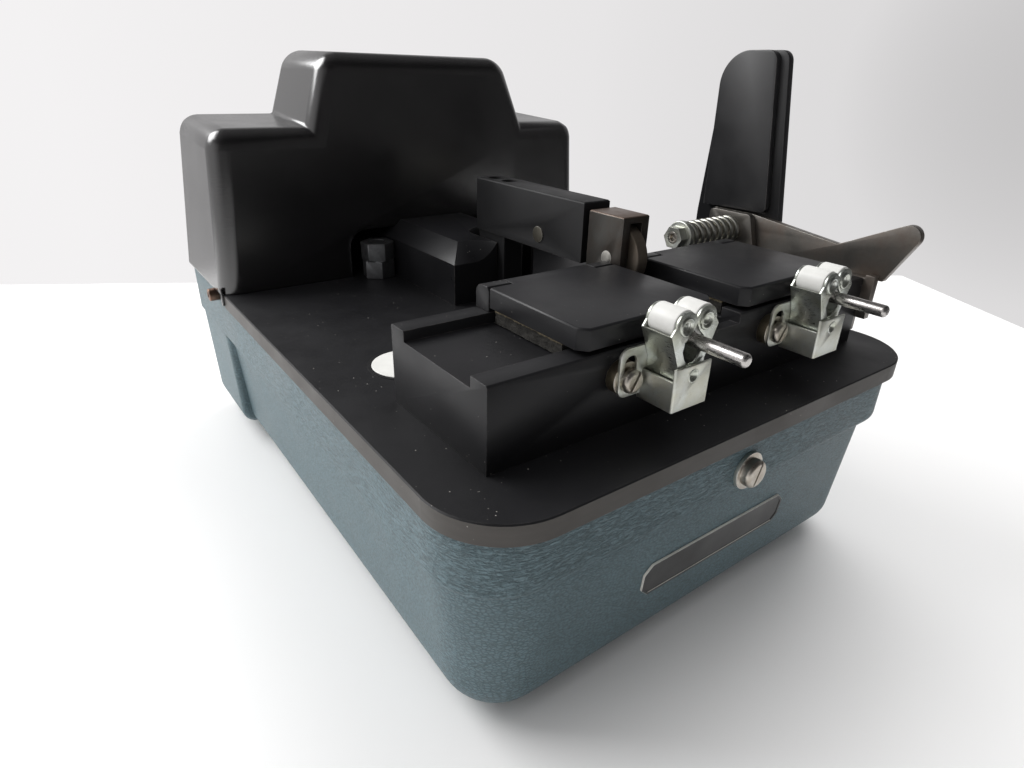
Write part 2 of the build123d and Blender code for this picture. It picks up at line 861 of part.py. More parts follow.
def coil(radius, wire, pitch, turns):
    """Round-wire spring along +X from the origin: one unbroken tube of arcs with straight ends."""
    knots = helix_points(radius, pitch, turns, 0)
    first = knots[0]
    last = knots[-1]
    with BuildPart() as spring:
        with BuildLine() as path:
            Line(first[0] - first[1] * wire, first[0])
            for (a, ta), (b, tb) in zip(knots, knots[1:]):
                span = b - a
                lean = span.dot(ta + tb)
                spread = 2 * (1 - ta.dot(tb))
                reach = (sqrt(lean**2 + spread * span.dot(span)) - lean) / spread
                corner_a = a + ta * reach
                corner_b = b - tb * reach
                joint = (corner_a + corner_b) * 0.5
                TangentArc(a, joint, tangent=ta)
                TangentArc(joint, b, tangent=(corner_b - corner_a).normalized())
            Line(last[0], last[0] + last[1] * wire)
        with BuildSketch(Plane(path.line @ 0, z_dir=path.line % 0)):
            Circle(wire / 2)
        sweep(path=path.line)
    return spring.part


def coil_gap(radius, wire, pitch, turns):
    """Least gap between one curl and the next, measured on points along the wire."""
    steps = 48
    line = [
        Vector(pitch * i / steps, radius * cos(2 * pi * i / steps), radius * sin(2 * pi * i / steps))
        for i in range(round(turns * steps) + 1)
    ]
    nearest = min(
        (line[i] - line[j]).length for i in range(0, len(line), 4) for j in range(i + steps // 2, len(line))
    )
    return nearest - wire


block_face = block_y0
tab_back = block_face - catch_standoff
tab_front = tab_back - catch_sheet
box_front = front + catch_front
outer_ear_front = box_front + catch_sheet + jaw_play
outer_ear_rear = tab_front - jaw_play - jaw_sheet
pivot_z = table_top + catch_pivot_height


def catch_box(middle):
    """Housing of one catch: bent sheet, open at the top, with a slotted tab behind it."""
    x0 = middle - catch_width / 2
    x1 = middle + catch_width / 2
    low = table_top + catch_floor
    with BuildPart() as box:
        block(x0, x1, box_front, tab_back, low, table_top + catch_face_top)
        block_in = catch_sheet
        with BuildSketch(level(low + block_in)):
            with Locations((middle, (box_front + tab_front + block_in) / 2)):
                Rectangle(catch_width - 2 * block_in, tab_front - box_front - block_in)
        extrude(amount=catch_face_top, mode=Mode.SUBTRACT)
        with BuildSketch(level(table_top + catch_side_top)):
            with Locations((middle, (box_front + tab_front + block_in) / 2)):
                Rectangle(catch_width, tab_front - box_front - block_in)
        extrude(amount=catch_face_top, mode=Mode.SUBTRACT)
        fillet(box.edges().filter_by(Axis.Z).group_by(Axis.Y)[0], 0.7)
        with BuildSketch(along(tab_front)) as tab:
            tab_x0 = x0 - catch_tab_reach
            with Locations(((tab_x0 + x1) / 2, table_top + (catch_tab_low + catch_tab_high) / 2)):
                Rectangle(x1 - tab_x0, catch_tab_high - catch_tab_low)
            fillet(tab.vertices().group_by(Axis.X)[0], catch_tab_corner)
            fillet(tab.vertices().group_by(Axis.X)[-1].sort_by(Axis.Y)[-1], catch_tab_corner)
            slot_middle = table_top + (catch_slot_low + catch_slot_high) / 2
            with Locations((x0 - catch_screw_reach, slot_middle)):
                slot_height = catch_slot_high - catch_slot_low
                SlotOverall(slot_height, 2 * (screw_radius + screw_clearance), rotation=90,
                            mode=Mode.SUBTRACT)
        extrude(amount=-catch_sheet)
        with BuildSketch(along(box_front)):
            with Locations((middle, pivot_z)):
                Circle(catch_pivot_radius)
        extrude(amount=-(tab_back - box_front), mode=Mode.SUBTRACT)
    return box.part


def jaw_ear_outline(middle, hand):
    """Front view of a jaw's ear: eye on the pivot, waist beside the rod, lobe round the roller."""
    rx = middle + hand * roller_spread
    lobe = roller_radius - 0.3
    web = middle + hand * (catch_width / 2 - catch_sheet - 0.45)
    flare = web + hand * 3.9
    eye = 2.7
    with BuildSketch() as outline:
        with BuildLine():
            Polyline(
                (middle, pivot_z - eye), (web, pivot_z - eye), (web, table_top + 23.6),
                (flare, roller_z - 1.9), (rx + hand * lobe, roller_z),
            )
            ThreePointArc((rx + hand * lobe, roller_z), (rx, roller_z + lobe), (rx - hand * lobe, roller_z))
            Polyline(
                (rx - hand * lobe, roller_z), (rx - hand * 2.2, roller_z - 2.7),
                (rx - hand * 0.2, roller_z - 4.4), (rx + hand * 0.3, roller_z - 7.0),
                (rx - hand * 0.6, roller_z - 9.0), (rx - hand * 2.2, pivot_z + eye),
                (middle, pivot_z + eye),
            )
            ThreePointArc((middle, pivot_z + eye), (middle - hand * eye, pivot_z), (middle, pivot_z - eye))
        make_face()
    return outline.sketch


def catch_jaw(middle, hand, inset):
    """One jaw: an outer web bent into two ears, with the roller's rivet closed through them."""
    y0 = outer_ear_front + inset
    y1 = outer_ear_rear + jaw_sheet - inset
    web = middle + hand * (catch_width / 2 - catch_sheet - 0.45)
    flare = web + hand * 3.9
    low = pivot_z - 2.7
    rx = middle + hand * roller_spread
    with BuildPart() as jaw:
        for y in (y0, y1 - jaw_sheet):
            with BuildSketch(along(y)):
                add(jaw_ear_outline(middle, hand))
            extrude(amount=-jaw_sheet)
        with BuildSketch(along(y0)):
            with BuildLine():
                Polyline(
                    (web, low), (web, table_top + 23.6), (flare, roller_z - 1.9),
                    (flare - hand * jaw_sheet, roller_z - 1.9),
                    (web - hand * jaw_sheet, table_top + 23.8), (web - hand * jaw_sheet, low), close=True,
                )
            make_face()
        extrude(amount=-(y1 - y0))
        with BuildSketch(along(y0)):
            with Locations((middle, pivot_z)):
                Circle(catch_pivot_radius + shaft_clearance)
            with Locations((rx, roller_z)):
                Circle(rivet_radius)
        extrude(amount=-(y1 - y0), mode=Mode.SUBTRACT)
        with BuildSketch(along(y0)):
            with Locations((rx, roller_z)):
                Circle(rivet_radius)
        extrude(amount=-(y1 - y0))
        for y, way in ((y0, 1), (y1, -1)):
            with BuildSketch(along(y)):
                with Locations((rx, roller_z)):
                    Circle(rivet_head_radius)
            extrude(amount=way * rivet_head_height, taper=20)
    return jaw.part


def catch_roller(middle, hand, inset):
    y0 = outer_ear_front + inset + jaw_sheet + jaw_play
    y1 = outer_ear_rear - inset - jaw_play
    with BuildPart() as roller:
        with BuildSketch(along(y0)):
            with Locations((middle + hand * roller_spread, roller_z)):
                Circle(roller_radius)
        extrude(amount=-(y1 - y0))
        fillet(roller.edges(), 0.4)
        with BuildSketch(along(y0)):
            with Locations((middle + hand * roller_spread, roller_z)):
                Circle(rivet_radius + shaft_clearance)
        extrude(amount=-(y1 - y0), mode=Mode.SUBTRACT)
    return roller.part


inner_ear_inset = jaw_sheet + jaw_play

for name, middle in sides:
    save(catch_box(middle), f"catch_housing_{name}")
    for hand, inset, side in ((-1, 0, "a"), (1, inner_ear_inset, "b")):
        save(catch_jaw(middle, hand, inset), f"catch_jaw_{name}_{side}")
        save(catch_roller(middle, hand, inset), f"catch_roller_{name}_{side}")

with BuildPart() as catch_pivots:
    for name, middle in sides:
        with BuildSketch(along(box_front)):
            with Locations((middle, pivot_z)):
                Circle(catch_pivot_radius)
        extrude(amount=-(tab_back - box_front))
        for y, way in ((box_front, 1), (tab_back, -1)):
            with BuildSketch(along(y)):
                with Locations((middle, pivot_z)):
                    Circle(rivet_head_radius)
            extrude(amount=way * rivet_head_height, taper=20)
save(catch_pivots.part, "catch_pivots")

catch_spring_y0 = outer_ear_front + inner_ear_inset + jaw_sheet + 1
catch_spring_y1 = outer_ear_rear - inner_ear_inset - 1
catch_spring_pitch = (catch_spring_y1 - catch_spring_y0) / catch_spring_turns
catch_spring_radius = catch_pivot_radius + curved_gap + catch_spring_wire / 2

with BuildPart() as catch_springs:
    spring = coil(catch_spring_radius, catch_spring_wire, catch_spring_pitch, catch_spring_turns)
    for name, middle in sides:
        seat = (middle, catch_spring_y0, pivot_z)
        with Locations(Location(Plane(seat, x_dir=(0, 1, 0), z_dir=(0, 0, 1)))):
            add(spring)
save(catch_springs.part, "catch_springs")
gap = coil_gap(catch_spring_radius, catch_spring_wire, catch_spring_pitch, catch_spring_turns)
print(f"catch_springs least gap to itself {gap:.2f}")

with BuildPart() as catch_screws:
    for name, middle in sides:
        add(
            slotted_screw(
                tab_front, middle - catch_width / 2 - catch_screw_reach,
                table_top + catch_screw_height, catch_screw_head, catch_screw_head_height,
                catch_screw_length + catch_standoff, 60,
            )
        )
    thickness = catch_standoff / catch_washer_count
    for name, middle in sides:
        for i in range(catch_washer_count):
            with BuildSketch(along(block_face - i * thickness)):
                with Locations((middle - catch_width / 2 - catch_screw_reach,
                                table_top + catch_screw_height)):
                    Circle(catch_washer_radius)
                    Circle(screw_radius + screw_clearance, mode=Mode.SUBTRACT)
            extrude(amount=thickness)
save(catch_screws.part, "catch_screws")

# --- Fixed and moving knife blades ---------------------------------------------------------------------

blade_x0 = block_x1
blade_x1 = blade_x0 + blade_thickness
moving_x0 = blade_x1 + blade_gap
moving_x1 = moving_x0 + blade_thickness
lever_x1 = moving_x1 + blade_thickness
pivot_y = front + knife_pivot_y
knife_z = table_top + knife_pivot_z


def side_plate(points, x0, x1):
    """Flat plate between x0 and x1, cut to points given back from the table's front and up from its top."""
    with BuildPart() as plate:
        with BuildSketch(across(x0)):
            with BuildLine():
                Polyline([(front + y, table_top + z) for y, z in points], close=True)
            make_face()
        extrude(amount=x1 - x0)
    return plate.part


fixed_blade_points = [
    (18.4, 10.0), (18.4, 26.6), (22.0, 26.6), (22.0, 25.4), (30.0, 25.4), (30.0, 22.0), (65.2, 22.0),
    (65.2, 25.4), (72.0, 26.0), (76.0, 39.6), (97.0, 39.6), (97.0, 28.0), (74.0, 8.0), (74.0, 4.0),
    (23.0, 4.0), (23.0, 10.0),
]

with BuildPart() as fixed_blade:
    add(side_plate(fixed_blade_points, blade_x0, blade_x1))
    far_top = fixed_blade.edges().filter_by(Axis.X).group_by(Axis.Z)[-1]
    fillet(far_top, blade_ear_corner)
    with BuildSketch(across(blade_x0)):
        with Locations((pivot_y, knife_z)):
            Circle(pivot_radius)
        with Locations(*[(y, table_top + z) for y, z in blade_screw_places]):
            Circle(blade_screw_radius)
    extrude(amount=blade_thickness, mode=Mode.SUBTRACT)
    with BuildSketch(across(blade_x1)):
        with Locations(*[(y, table_top + z) for y, z in blade_screw_places]):
            Circle(blade_screw_head)
    extrude(amount=-1.6, mode=Mode.SUBTRACT)
save(fixed_blade.part, "fixed_blade")

with BuildPart() as blade_screws:
    places = [(y, table_top + z) for y, z in blade_screw_places]
    with BuildSketch(across(blade_x1 - 1.6)):
        with Locations(*places):
            Circle(blade_screw_head)
    extrude(amount=1.6)
    with BuildSketch(across(blade_x1 - 1.6)):
        with Locations(*places):
            Circle(blade_screw_radius)
    extrude(amount=-8.0)
save(blade_screws.part, "blade_screws")

moving_blade_points = [
    (17.1, 27.7), (0.7, 52.8), (37.3, 34.8), (77.0, 39.6), (97.0, 39.6), (97.0, 27.0), (66.0, 24.0),
    (62.0, 27.2),
]

with BuildPart() as moving_blade:
    add(side_plate(moving_blade_points, moving_x0, moving_x1))
    fillet(moving_blade.edges().filter_by(Axis.X).group_by(Axis.Z)[-1], blade_tip)
    with BuildSketch(across(moving_x0)):
        with Locations((pivot_y, knife_z)):
            Circle(pivot_radius + shaft_clearance)
    extrude(amount=blade_thickness, mode=Mode.SUBTRACT)
save(moving_blade.part, "moving_blade")


def round_top(plate):
    """Rounds the top of a lever plate: a wide crown at the rear corner and a smaller corner in front."""
    top = plate.edges().filter_by(Axis.X).group_by(Axis.Z)[-1].sort_by(Axis.Y)
    fillet(top[0], lever_corner)
    top = plate.edges().filter_by(Axis.X).group_by(Axis.Z)[-1].sort_by(Axis.Y)
    fillet(top[-1], lever_crown)


lever_points = [
    (66.3, 37.9), (66.3, 28.0), (72.0, 24.0), (97.0, 24.0), (109.2, 30.0), (109.2, 36.2), (105.0, 103.0),
    (76.0, 103.0),
]

with BuildPart() as knife_lever:
    add(side_plate(lever_points, moving_x1, lever_x1))
    round_top(knife_lever)
    with BuildSketch(across(moving_x1)):
        with Locations((pivot_y, knife_z)):
            Circle(pivot_radius + shaft_clearance)
    extrude(amount=blade_thickness, mode=Mode.SUBTRACT)
save(knife_lever.part, "knife_lever")

grip_points = [(104.0, 40.1), (71.2, 40.8), (79.4, 103.0), (105.0, 103.0)]

with BuildPart() as knife_grip:
    add(side_plate(grip_points, moving_x0, moving_x1))
    round_top(knife_grip)
    foot = knife_grip.edges().filter_by(Axis.X).sort_by(Axis.Y)[0]
    fillet(foot, lever_corner / 2)
save(knife_grip.part, "knife_grip")

spring_x1 = blade_x0
spring_x0 = spring_x1 - knife_spring_length
pivot_end = spring_x0 - spring_washer - pivot_nut_length

with BuildPart() as pivot_bolt:
    with BuildSketch(across(lever_x1)):
        with Locations((pivot_y, knife_z)):
            Circle(pivot_head_radius)
    extrude(amount=pivot_head_length)
    chamfer(pivot_bolt.edges().group_by(Axis.X)[-1], 0.5)
    with BuildSketch(across(lever_x1 + pivot_head_length)):
        with Locations((pivot_y, knife_z)):
            RegularPolygon(2.0, 6)
    extrude(amount=-pivot_socket, mode=Mode.SUBTRACT)
    with BuildSketch(across(pivot_end)):
        with Locations((pivot_y, knife_z)):
            Circle(pivot_radius)
    extrude(amount=lever_x1 - pivot_end)
    with BuildSketch(across(pivot_end)):
        with Locations((pivot_y, knife_z)):
            Circle(pivot_bore)
    extrude(amount=pivot_bore, mode=Mode.SUBTRACT)
save(pivot_bolt.part, "pivot_bolt")

with BuildPart() as pivot_nut:
    with BuildSketch(across(spring_x0 - spring_washer)):
        with Locations((pivot_y, knife_z)):
            Circle(spring_cup_radius)
            Circle(pivot_radius, mode=Mode.SUBTRACT)
    extrude(amount=spring_washer)
    fillet(pivot_nut.edges().group_by(Axis.X)[0], 0.6)
    with BuildSketch(across(spring_x0 - spring_washer)):
        with Locations((pivot_y, knife_z)):
            RegularPolygon(pivot_nut_radius, 6)
            Circle(pivot_radius, mode=Mode.SUBTRACT)
    extrude(amount=-pivot_nut_length)
save(pivot_nut.part, "pivot_nut")

spring_start = spring_x0 + knife_spring_wire / 2 + spring_end_gap
spring_pitch = (spring_x1 - spring_x0 - 2 * (spring_start - spring_x0)) / knife_spring_turns

with BuildPart() as knife_spring:
    spring = coil(knife_spring_radius, knife_spring_wire, spring_pitch, knife_spring_turns)
    with Locations((spring_start, pivot_y, knife_z)):
        add(spring)
save(knife_spring.part, "knife_spring")
gap = coil_gap(knife_spring_radius, knife_spring_wire, spring_pitch, knife_spring_turns)
print(f"knife_spring least gap to itself {gap:.2f}")

# --- Weld wheel in its fork, and the arm that carries it -------------------------------------------------

wheel_y = front + wheel_line
wheel_z = channel_floor + film_thickness + wheel_radius
arm_z1 = table_top + arm_top
arm_z0 = arm_z1 - arm_height
arm_y0 = front + arm_front
arm_y1 = front + arm_rear
fork_y1 = arm_y0 - fork_gap
fork_y0 = fork_y1 - fork_length
fork_z1 = arm_z1 - fork_drop
fork_z0 = channel_floor + 2.6
fork_slot_reach = wheel_radius + fork_slot_clearance
stem_z = arm_z1 - stem_drop - stem_height / 2

with BuildPart() as wheel_fork:
    block(weld_x - fork_width / 2, weld_x + fork_width / 2, fork_y0, fork_y1, fork_z0, fork_z1)
    chamfer(wheel_fork.faces().sort_by(Axis.Z)[-1].edges(), 0.4)
    slot_half = fork_slot_width / 2
    block(
        weld_x - slot_half, weld_x + slot_half, fork_y0, wheel_y + fork_slot_reach,
        fork_z0, wheel_z + fork_slot_reach, mode=Mode.SUBTRACT,
    )
    with BuildSketch(across(weld_x - fork_width / 2)):
        with Locations((wheel_y, wheel_z)):
            Circle(wheel_pin_radius)
    extrude(amount=fork_width, mode=Mode.SUBTRACT)
    with Locations((weld_x, fork_y1 + stem_length / 2, stem_z)):
        Box(stem_width, stem_length, stem_height)
save(wheel_fork.part, "wheel_fork")

with BuildPart() as weld_wheel:
    with BuildSketch(across(weld_x - wheel_width / 2)):
        with Locations((wheel_y, wheel_z)):
            Circle(wheel_radius)
    extrude(amount=wheel_width)
    fillet(weld_wheel.edges().filter_by(GeomType.CIRCLE), 0.4)
    with BuildSketch(across(weld_x - wheel_width / 2)):
        with Locations((wheel_y, wheel_z)):
            Circle(wheel_pin_radius + shaft_clearance)
    extrude(amount=wheel_width, mode=Mode.SUBTRACT)
save(weld_wheel.part, "weld_wheel")

with BuildPart() as wheel_pin:
    with BuildSketch(across(weld_x - fork_width / 2)):
        with Locations((wheel_y, wheel_z)):
            Circle(wheel_pin_radius)
    extrude(amount=fork_width)
save(wheel_pin.part, "wheel_pin")

arm_screw_ys = [arm_y1 - arm_screw_end - i * arm_screw_spacing for i in (0, 1)]
riser_z0 = table_bottom - carriage_drop
pin_y = arm_y0 + arm_pin_back
pin_z = arm_z0 + arm_pin_height

with BuildPart() as travel_arm:
    block(weld_x - arm_width / 2, weld_x + arm_width / 2, arm_y0, arm_y1, arm_z0, arm_z1)
    chamfer(travel_arm.faces().sort_by(Axis.Z)[-1].edges(), 0.5)
    with BuildSketch(level(arm_z0)):
        with Locations(*[(weld_x, y) for y in arm_screw_ys]):
            Circle(screw_radius)
    extrude(amount=arm_height, mode=Mode.SUBTRACT)
    with BuildSketch(level(arm_z1)):
        with Locations(*[(weld_x, y) for y in arm_screw_ys]):
            Circle(arm_screw_head)
    extrude(amount=-arm_screw_head_height - 1.0, mode=Mode.SUBTRACT)
    with Locations((weld_x, arm_y0 + stem_length / 2, stem_z)):
        Box(stem_width, stem_length, stem_height, mode=Mode.SUBTRACT)
    with BuildSketch(across(weld_x - arm_width / 2)):
        with Locations((pin_y, pin_z)):
            Circle(arm_pin_radius)
    extrude(amount=arm_width, mode=Mode.SUBTRACT)
save(travel_arm.part, "travel_arm")

with BuildPart() as arm_screws:
    places = [(weld_x, y) for y in arm_screw_ys]
    head_z = arm_z1 - arm_screw_head_height - 1.0
    with BuildSketch(level(head_z)):
        with Locations(*places):
            Circle(arm_screw_head)
    extrude(amount=arm_screw_head_height)
    with BuildSketch(level(head_z + arm_screw_head_height)):
        with Locations(*places):
            RegularPolygon(1.9, 6)
    extrude(amount=-2.0, mode=Mode.SUBTRACT)
    with BuildSketch(level(head_z)):
        with Locations(*places):
            Circle(screw_radius)
    extrude(amount=-(head_z - arm_z0) - 12.0)
    with BuildSketch(across(weld_x - arm_width / 2 - 0.4)):
        with Locations((pin_y, pin_z)):
            Circle(arm_pin_radius)
    extrude(amount=arm_width + 0.8)
save(arm_screws.part, "arm_screws")

# --- Carriage on its guide rods, below the table ----------------------------------------------------------

riser_y1 = arm_y1
riser_y0 = riser_y1 - riser_length
rod_z = table_bottom - carriage_drop - carriage_height / 2
carriage_y1 = riser_y1 + 14.0
carriage_y0 = carriage_y1 - carriage_length
rod_xs = [weld_x - rod_spacing / 2, weld_x + rod_spacing / 2]
rod_y0 = front + rod_front
rod_y1 = front + rod_rear
horn_y1 = front + 108.0
rack_x0 = weld_x - carriage_width / 2
pinion_pitch_radius = tooth_module * pinion_teeth / 2
drive_z = rod_z - carriage_height / 2 - rack_width

with BuildPart() as carriage:
    carriage_top = table_bottom - carriage_drop
    block(
        weld_x - carriage_width / 2, weld_x + carriage_width / 2, carriage_y0, carriage_y1,
        carriage_top - carriage_height, carriage_top,
    )
    block(weld_x - riser_width / 2, weld_x + riser_width / 2, riser_y0, riser_y1, carriage_top, arm_z0)
    fillet(carriage.edges().filter_by(Axis.Z), 1.0)
    with BuildSketch(along(carriage_y0)):
        with Locations(*[(x, rod_z) for x in rod_xs]):
            Circle(guide_rod_radius + shaft_clearance)
    extrude(amount=-carriage_length, mode=Mode.SUBTRACT)
    with BuildSketch(level(arm_z0)):
        with Locations(*[(weld_x, y) for y in arm_screw_ys]):
            Circle(screw_radius)
    extrude(amount=-12.0, mode=Mode.SUBTRACT)
save(carriage.part, "carriage")

with BuildPart() as guide_rods:
    with BuildSketch(along(rod_y0)):
        with Locations(*[(x, rod_z) for x in rod_xs]):
            Circle(guide_rod_radius)
    extrude(amount=-(rod_y1 - rod_y0))
    chamfer(guide_rods.edges().filter_by(GeomType.CIRCLE), 0.5)
save(guide_rods.part, "guide_rods")

with BuildPart() as rod_brackets:
    bracket_z0 = rod_z - guide_rod_radius - 4.0
    for x in rod_xs:
        for y0 in (rod_y0, rod_y1 - rod_bracket_length):
            block(
                x - rod_bracket_width / 2, x + rod_bracket_width / 2, y0, y0 + rod_bracket_length,
                bracket_z0, table_bottom,
            )
    with BuildSketch(along(rod_y0)):
        with Locations(*[(x, rod_z) for x in rod_xs]):
            Circle(guide_rod_radius)
    extrude(amount=-(rod_y1 - rod_y0), mode=Mode.SUBTRACT)
save(rod_brackets.part, "rod_brackets")

# --- Rack on the carriage, pinion and gear motor -----------------------------------------------------------

tooth_pitch = pi * tooth_module
rack_length = arm_travel + pinion_pitch_radius * 4
pinion_y = carriage_y0 + pinion_setback
rack_y1 = pinion_y + arm_travel + 2.5 * pinion_pitch_radius
rack_y0 = pinion_y - 1.5 * pinion_pitch_radius
rack_x = weld_x + rack_offset
rack_pitch_z = rod_z - carriage_height / 2 - rack_width + 1.0
pinion_z = rack_pitch_z - pinion_pitch_radius


def rack_teeth():
    """Side view of the rack: straight-flanked teeth, with a space over the pinion's axis at rest."""
    flank = tan(radians(20))
    tip = rack_pitch_z - tooth_module
    root = rack_pitch_z + 1.25 * tooth_module
    top = rod_z - carriage_height / 2
    half = tooth_pitch / 4 - tooth_play / 2
    count_back = int((rack_y1 - pinion_y) / tooth_pitch - 0.75)
    count_front = int((pinion_y - rack_y0) / tooth_pitch - 0.75)
    outline = [(rack_y0, top), (rack_y0, root)]
    for i in range(-count_front, count_back + 1):
        middle = pinion_y + (i + 0.5) * tooth_pitch
        outline += [
            (middle - half - 1.25 * tooth_module * flank, root), (middle - half + tooth_module * flank, tip),
            (middle + half - tooth_module * flank, tip), (middle + half + 1.25 * tooth_module * flank, root),
        ]
    outline += [(rack_y1, root), (rack_y1, top)]
    return outline


with BuildPart() as rack:
    with BuildSketch(across(rack_x - rack_width / 2)):
        with BuildLine():
            Polyline(rack_teeth(), close=True)
        make_face()
    extrude(amount=rack_width)
save(rack.part, "rack")


def involute(base, r):
    """Involute angle in radians at radius r, from the circle of radius base."""
    if r <= base:
        return 0.0
    return sqrt((r / base) ** 2 - 1) - acos(base / r)


def pinion_profile():
    """Teeth about the pinion's axis, with one tooth straight up."""
    pitch_radius = pinion_pitch_radius
    base = pitch_radius * cos(radians(20))
    half_angle = (tooth_pitch / 4 - tooth_play / 2) / pitch_radius
    points = []
    radii = [pitch_radius - 1.25 * tooth_module, base, pitch_radius, pitch_radius + tooth_module]
    for i in range(pinion_teeth):
        middle = pi / 2 - 2 * pi * i / pinion_teeth
        spans = [half_angle + involute(base, pitch_radius) - involute(base, r) for r in radii]
        rising = [(r, middle + a) for r, a in zip(radii, spans)]
        falling = [(r, middle - a) for r, a in reversed(list(zip(radii, spans)))]
        points += [(r * cos(a), r * sin(a)) for r, a in rising + falling]
    return points


pinion_x1 = rack_x + rack_width / 2 + 2.0
motor_x0 = pinion_x1 + motor_standoff

with BuildPart() as drive_pinion:
    with BuildSketch(across(rack_x - rack_width / 2)):
        with BuildLine():
            Polyline([(pinion_y + y, pinion_z + z) for y, z in pinion_profile()], close=True)
        make_face()
    extrude(amount=rack_width)
    with BuildSketch(across(rack_x - rack_width / 2)):
        with Locations((pinion_y, pinion_z)):
            Circle(pinion_pitch_radius - 2.0 * tooth_module)
    extrude(amount=rack_width + 2.0)
    with BuildSketch(across(rack_x)):
        with Locations((pinion_y, pinion_z)):
            Circle(drive_shaft_radius)
    extrude(amount=motor_x0 + bracket_sheet + shaft_depth - rack_x)
save(drive_pinion.part, "drive_pinion")

# --- Gear motor, horn and transducer -------------------------------------------------------------------------

bracket_y0 = pinion_y - 22.0
bracket_y1 = pinion_y + 22.0
bracket_bottom = pinion_z - 22.0

with BuildPart() as motor_bracket:
    block(motor_x0, motor_x0 + bracket_sheet, bracket_y0, bracket_y1, bracket_bottom, table_bottom)
    block(
        motor_x0, motor_x0 + bracket_foot, bracket_y0, bracket_y1,
        table_bottom - bracket_sheet, table_bottom,
    )
    with BuildSketch(across(motor_x0)):
        with Locations((pinion_y, pinion_z)):
            Circle(drive_shaft_radius + 2.0)
    extrude(amount=bracket_sheet, mode=Mode.SUBTRACT)
save(motor_bracket.part, "motor_bracket")

with BuildPart() as drive_motor:
    with BuildSketch(across(motor_x0 + bracket_sheet)):
        with Locations((pinion_y, pinion_z)):
            Circle(gearbox_radius)
    extrude(amount=gearbox_length)
    with BuildSketch(across(motor_x0 + bracket_sheet + gearbox_length)):
        with Locations((pinion_y, pinion_z)):
            Circle(motor_radius)
    extrude(amount=motor_length)
    chamfer(drive_motor.edges().group_by(Axis.X)[-1], 1.0)
    with BuildSketch(across(motor_x0 + bracket_sheet)):
        with Locations((pinion_y, pinion_z)):
            Circle(drive_shaft_radius + shaft_clearance)
    extrude(amount=shaft_depth + side_gap, mode=Mode.SUBTRACT)
save(drive_motor.part, "drive_motor")

horn_z = channel_floor - film_thickness
horn_low = table_bottom - horn_length
horn_y = front + (block_front + weld_web + block_rear) / 2
anvil_y0 = channel_y0 + 1.0
anvil_y1 = rail_front - 1.0

with BuildPart() as horn:
    block(weld_x - horn_tip_radius, weld_x + horn_tip_radius, anvil_y0, anvil_y1, table_bottom, horn_z)
    fillet(horn.edges().filter_by(Axis.Z), 1.0)
    with BuildSketch(level(table_bottom - horn_throat)):
        with Locations((weld_x, (anvil_y0 + anvil_y1) / 2)):
            Rectangle(2 * horn_body_radius, anvil_y1 - anvil_y0)
    extrude(amount=horn_throat)
    with BuildSketch(level(table_bottom - horn_throat)):
        with Locations((weld_x, (anvil_y0 + anvil_y1) / 2)):
            Circle(horn_ring_radius)
    extrude(amount=-(horn_shoulder - horn_throat))
save(horn.part, "horn")

with BuildPart() as transducer:
    stack_z = table_bottom - horn_shoulder
    with BuildSketch(level(stack_z)):
        with Locations((weld_x, (anvil_y0 + anvil_y1) / 2)):
            Circle(transducer_radius)
    extrude(amount=-(horn_length - horn_shoulder))
    for drop in (10.0, 16.0):
        with BuildSketch(level(stack_z - drop)):
            with Locations((weld_x, (anvil_y0 + anvil_y1) / 2)):
                Circle(transducer_radius + 1.5)
        extrude(amount=-4.0)
    chamfer(transducer.edges().group_by(Axis.Z)[0], 1.0)
save(transducer.part, "transducer")

# --- Guide block, stop stud and jam nuts on the table -----------------------------------------------------------

guide_x1 = left + 122.5
guide_x0 = guide_x1 - guide_width
guide_slot_x = weld_x + 3.9

with BuildPart() as guide_block:
    block(guide_x0, guide_x1, front + guide_front, front + guide_rear, table_top, table_top + guide_height)
    chamfer(guide_block.edges().filter_by(Axis.X).group_by(Axis.Z)[-1].sort_by(Axis.Y)[0], guide_bevel)
    with BuildSketch(level(table_top)):
        round_y = front + guide_slot_end - guide_slot_width / 2
        with Locations((guide_slot_x, round_y)):
            Circle(guide_slot_width / 2)
        with Locations((guide_slot_x, (front + guide_front + round_y) / 2)):
            Rectangle(guide_slot_width, round_y - front - guide_front)
    extrude(amount=guide_height, mode=Mode.SUBTRACT)
save(guide_block.part, "guide_block")

with BuildPart() as stop_stud:
    with BuildSketch(level(table_bottom)):
        with Locations(stud_place):
            Circle(stud_radius)
    extrude(amount=stud_height + table_thickness)
    chamfer(stop_stud.edges().group_by(Axis.Z)[-1], 0.6)
    for i in (0, 1):
        with BuildSketch(level(table_top + i * nut_height)):
            with Locations(stud_place):
                RegularPolygon(nut_flats / 2, 6, major_radius=False, rotation=18 + 14 * i)
                Circle(stud_radius, mode=Mode.SUBTRACT)
        extrude(amount=nut_height)
save(stop_stud.part, "stop_stud")

# --- Start button in its bezel, over a switch ------------------------------------------------------------------------

bezel_bore = button_radius + shaft_clearance
cap_top = table_top + button_proud
cap_bottom = cap_top - button_height
switch_top = cap_bottom - button_travel - 1.0

with BuildPart() as button_bezel:
    with BuildSketch(level(table_top - bezel_depth)):
        with Locations(button_place):
            Circle(bezel_radius)
    extrude(amount=bezel_depth + 0.2)
    with BuildSketch(level(table_top - bezel_depth + bezel_shelf)):
        with Locations(button_place):
            Circle(bezel_bore)
    extrude(amount=bezel_depth, mode=Mode.SUBTRACT)
    with BuildSketch(level(table_top - bezel_depth)):
        with Locations(button_place):
            Circle(switch_pin_radius + 1.0)
    extrude(amount=bezel_shelf, mode=Mode.SUBTRACT)
save(button_bezel.part, "button_bezel")

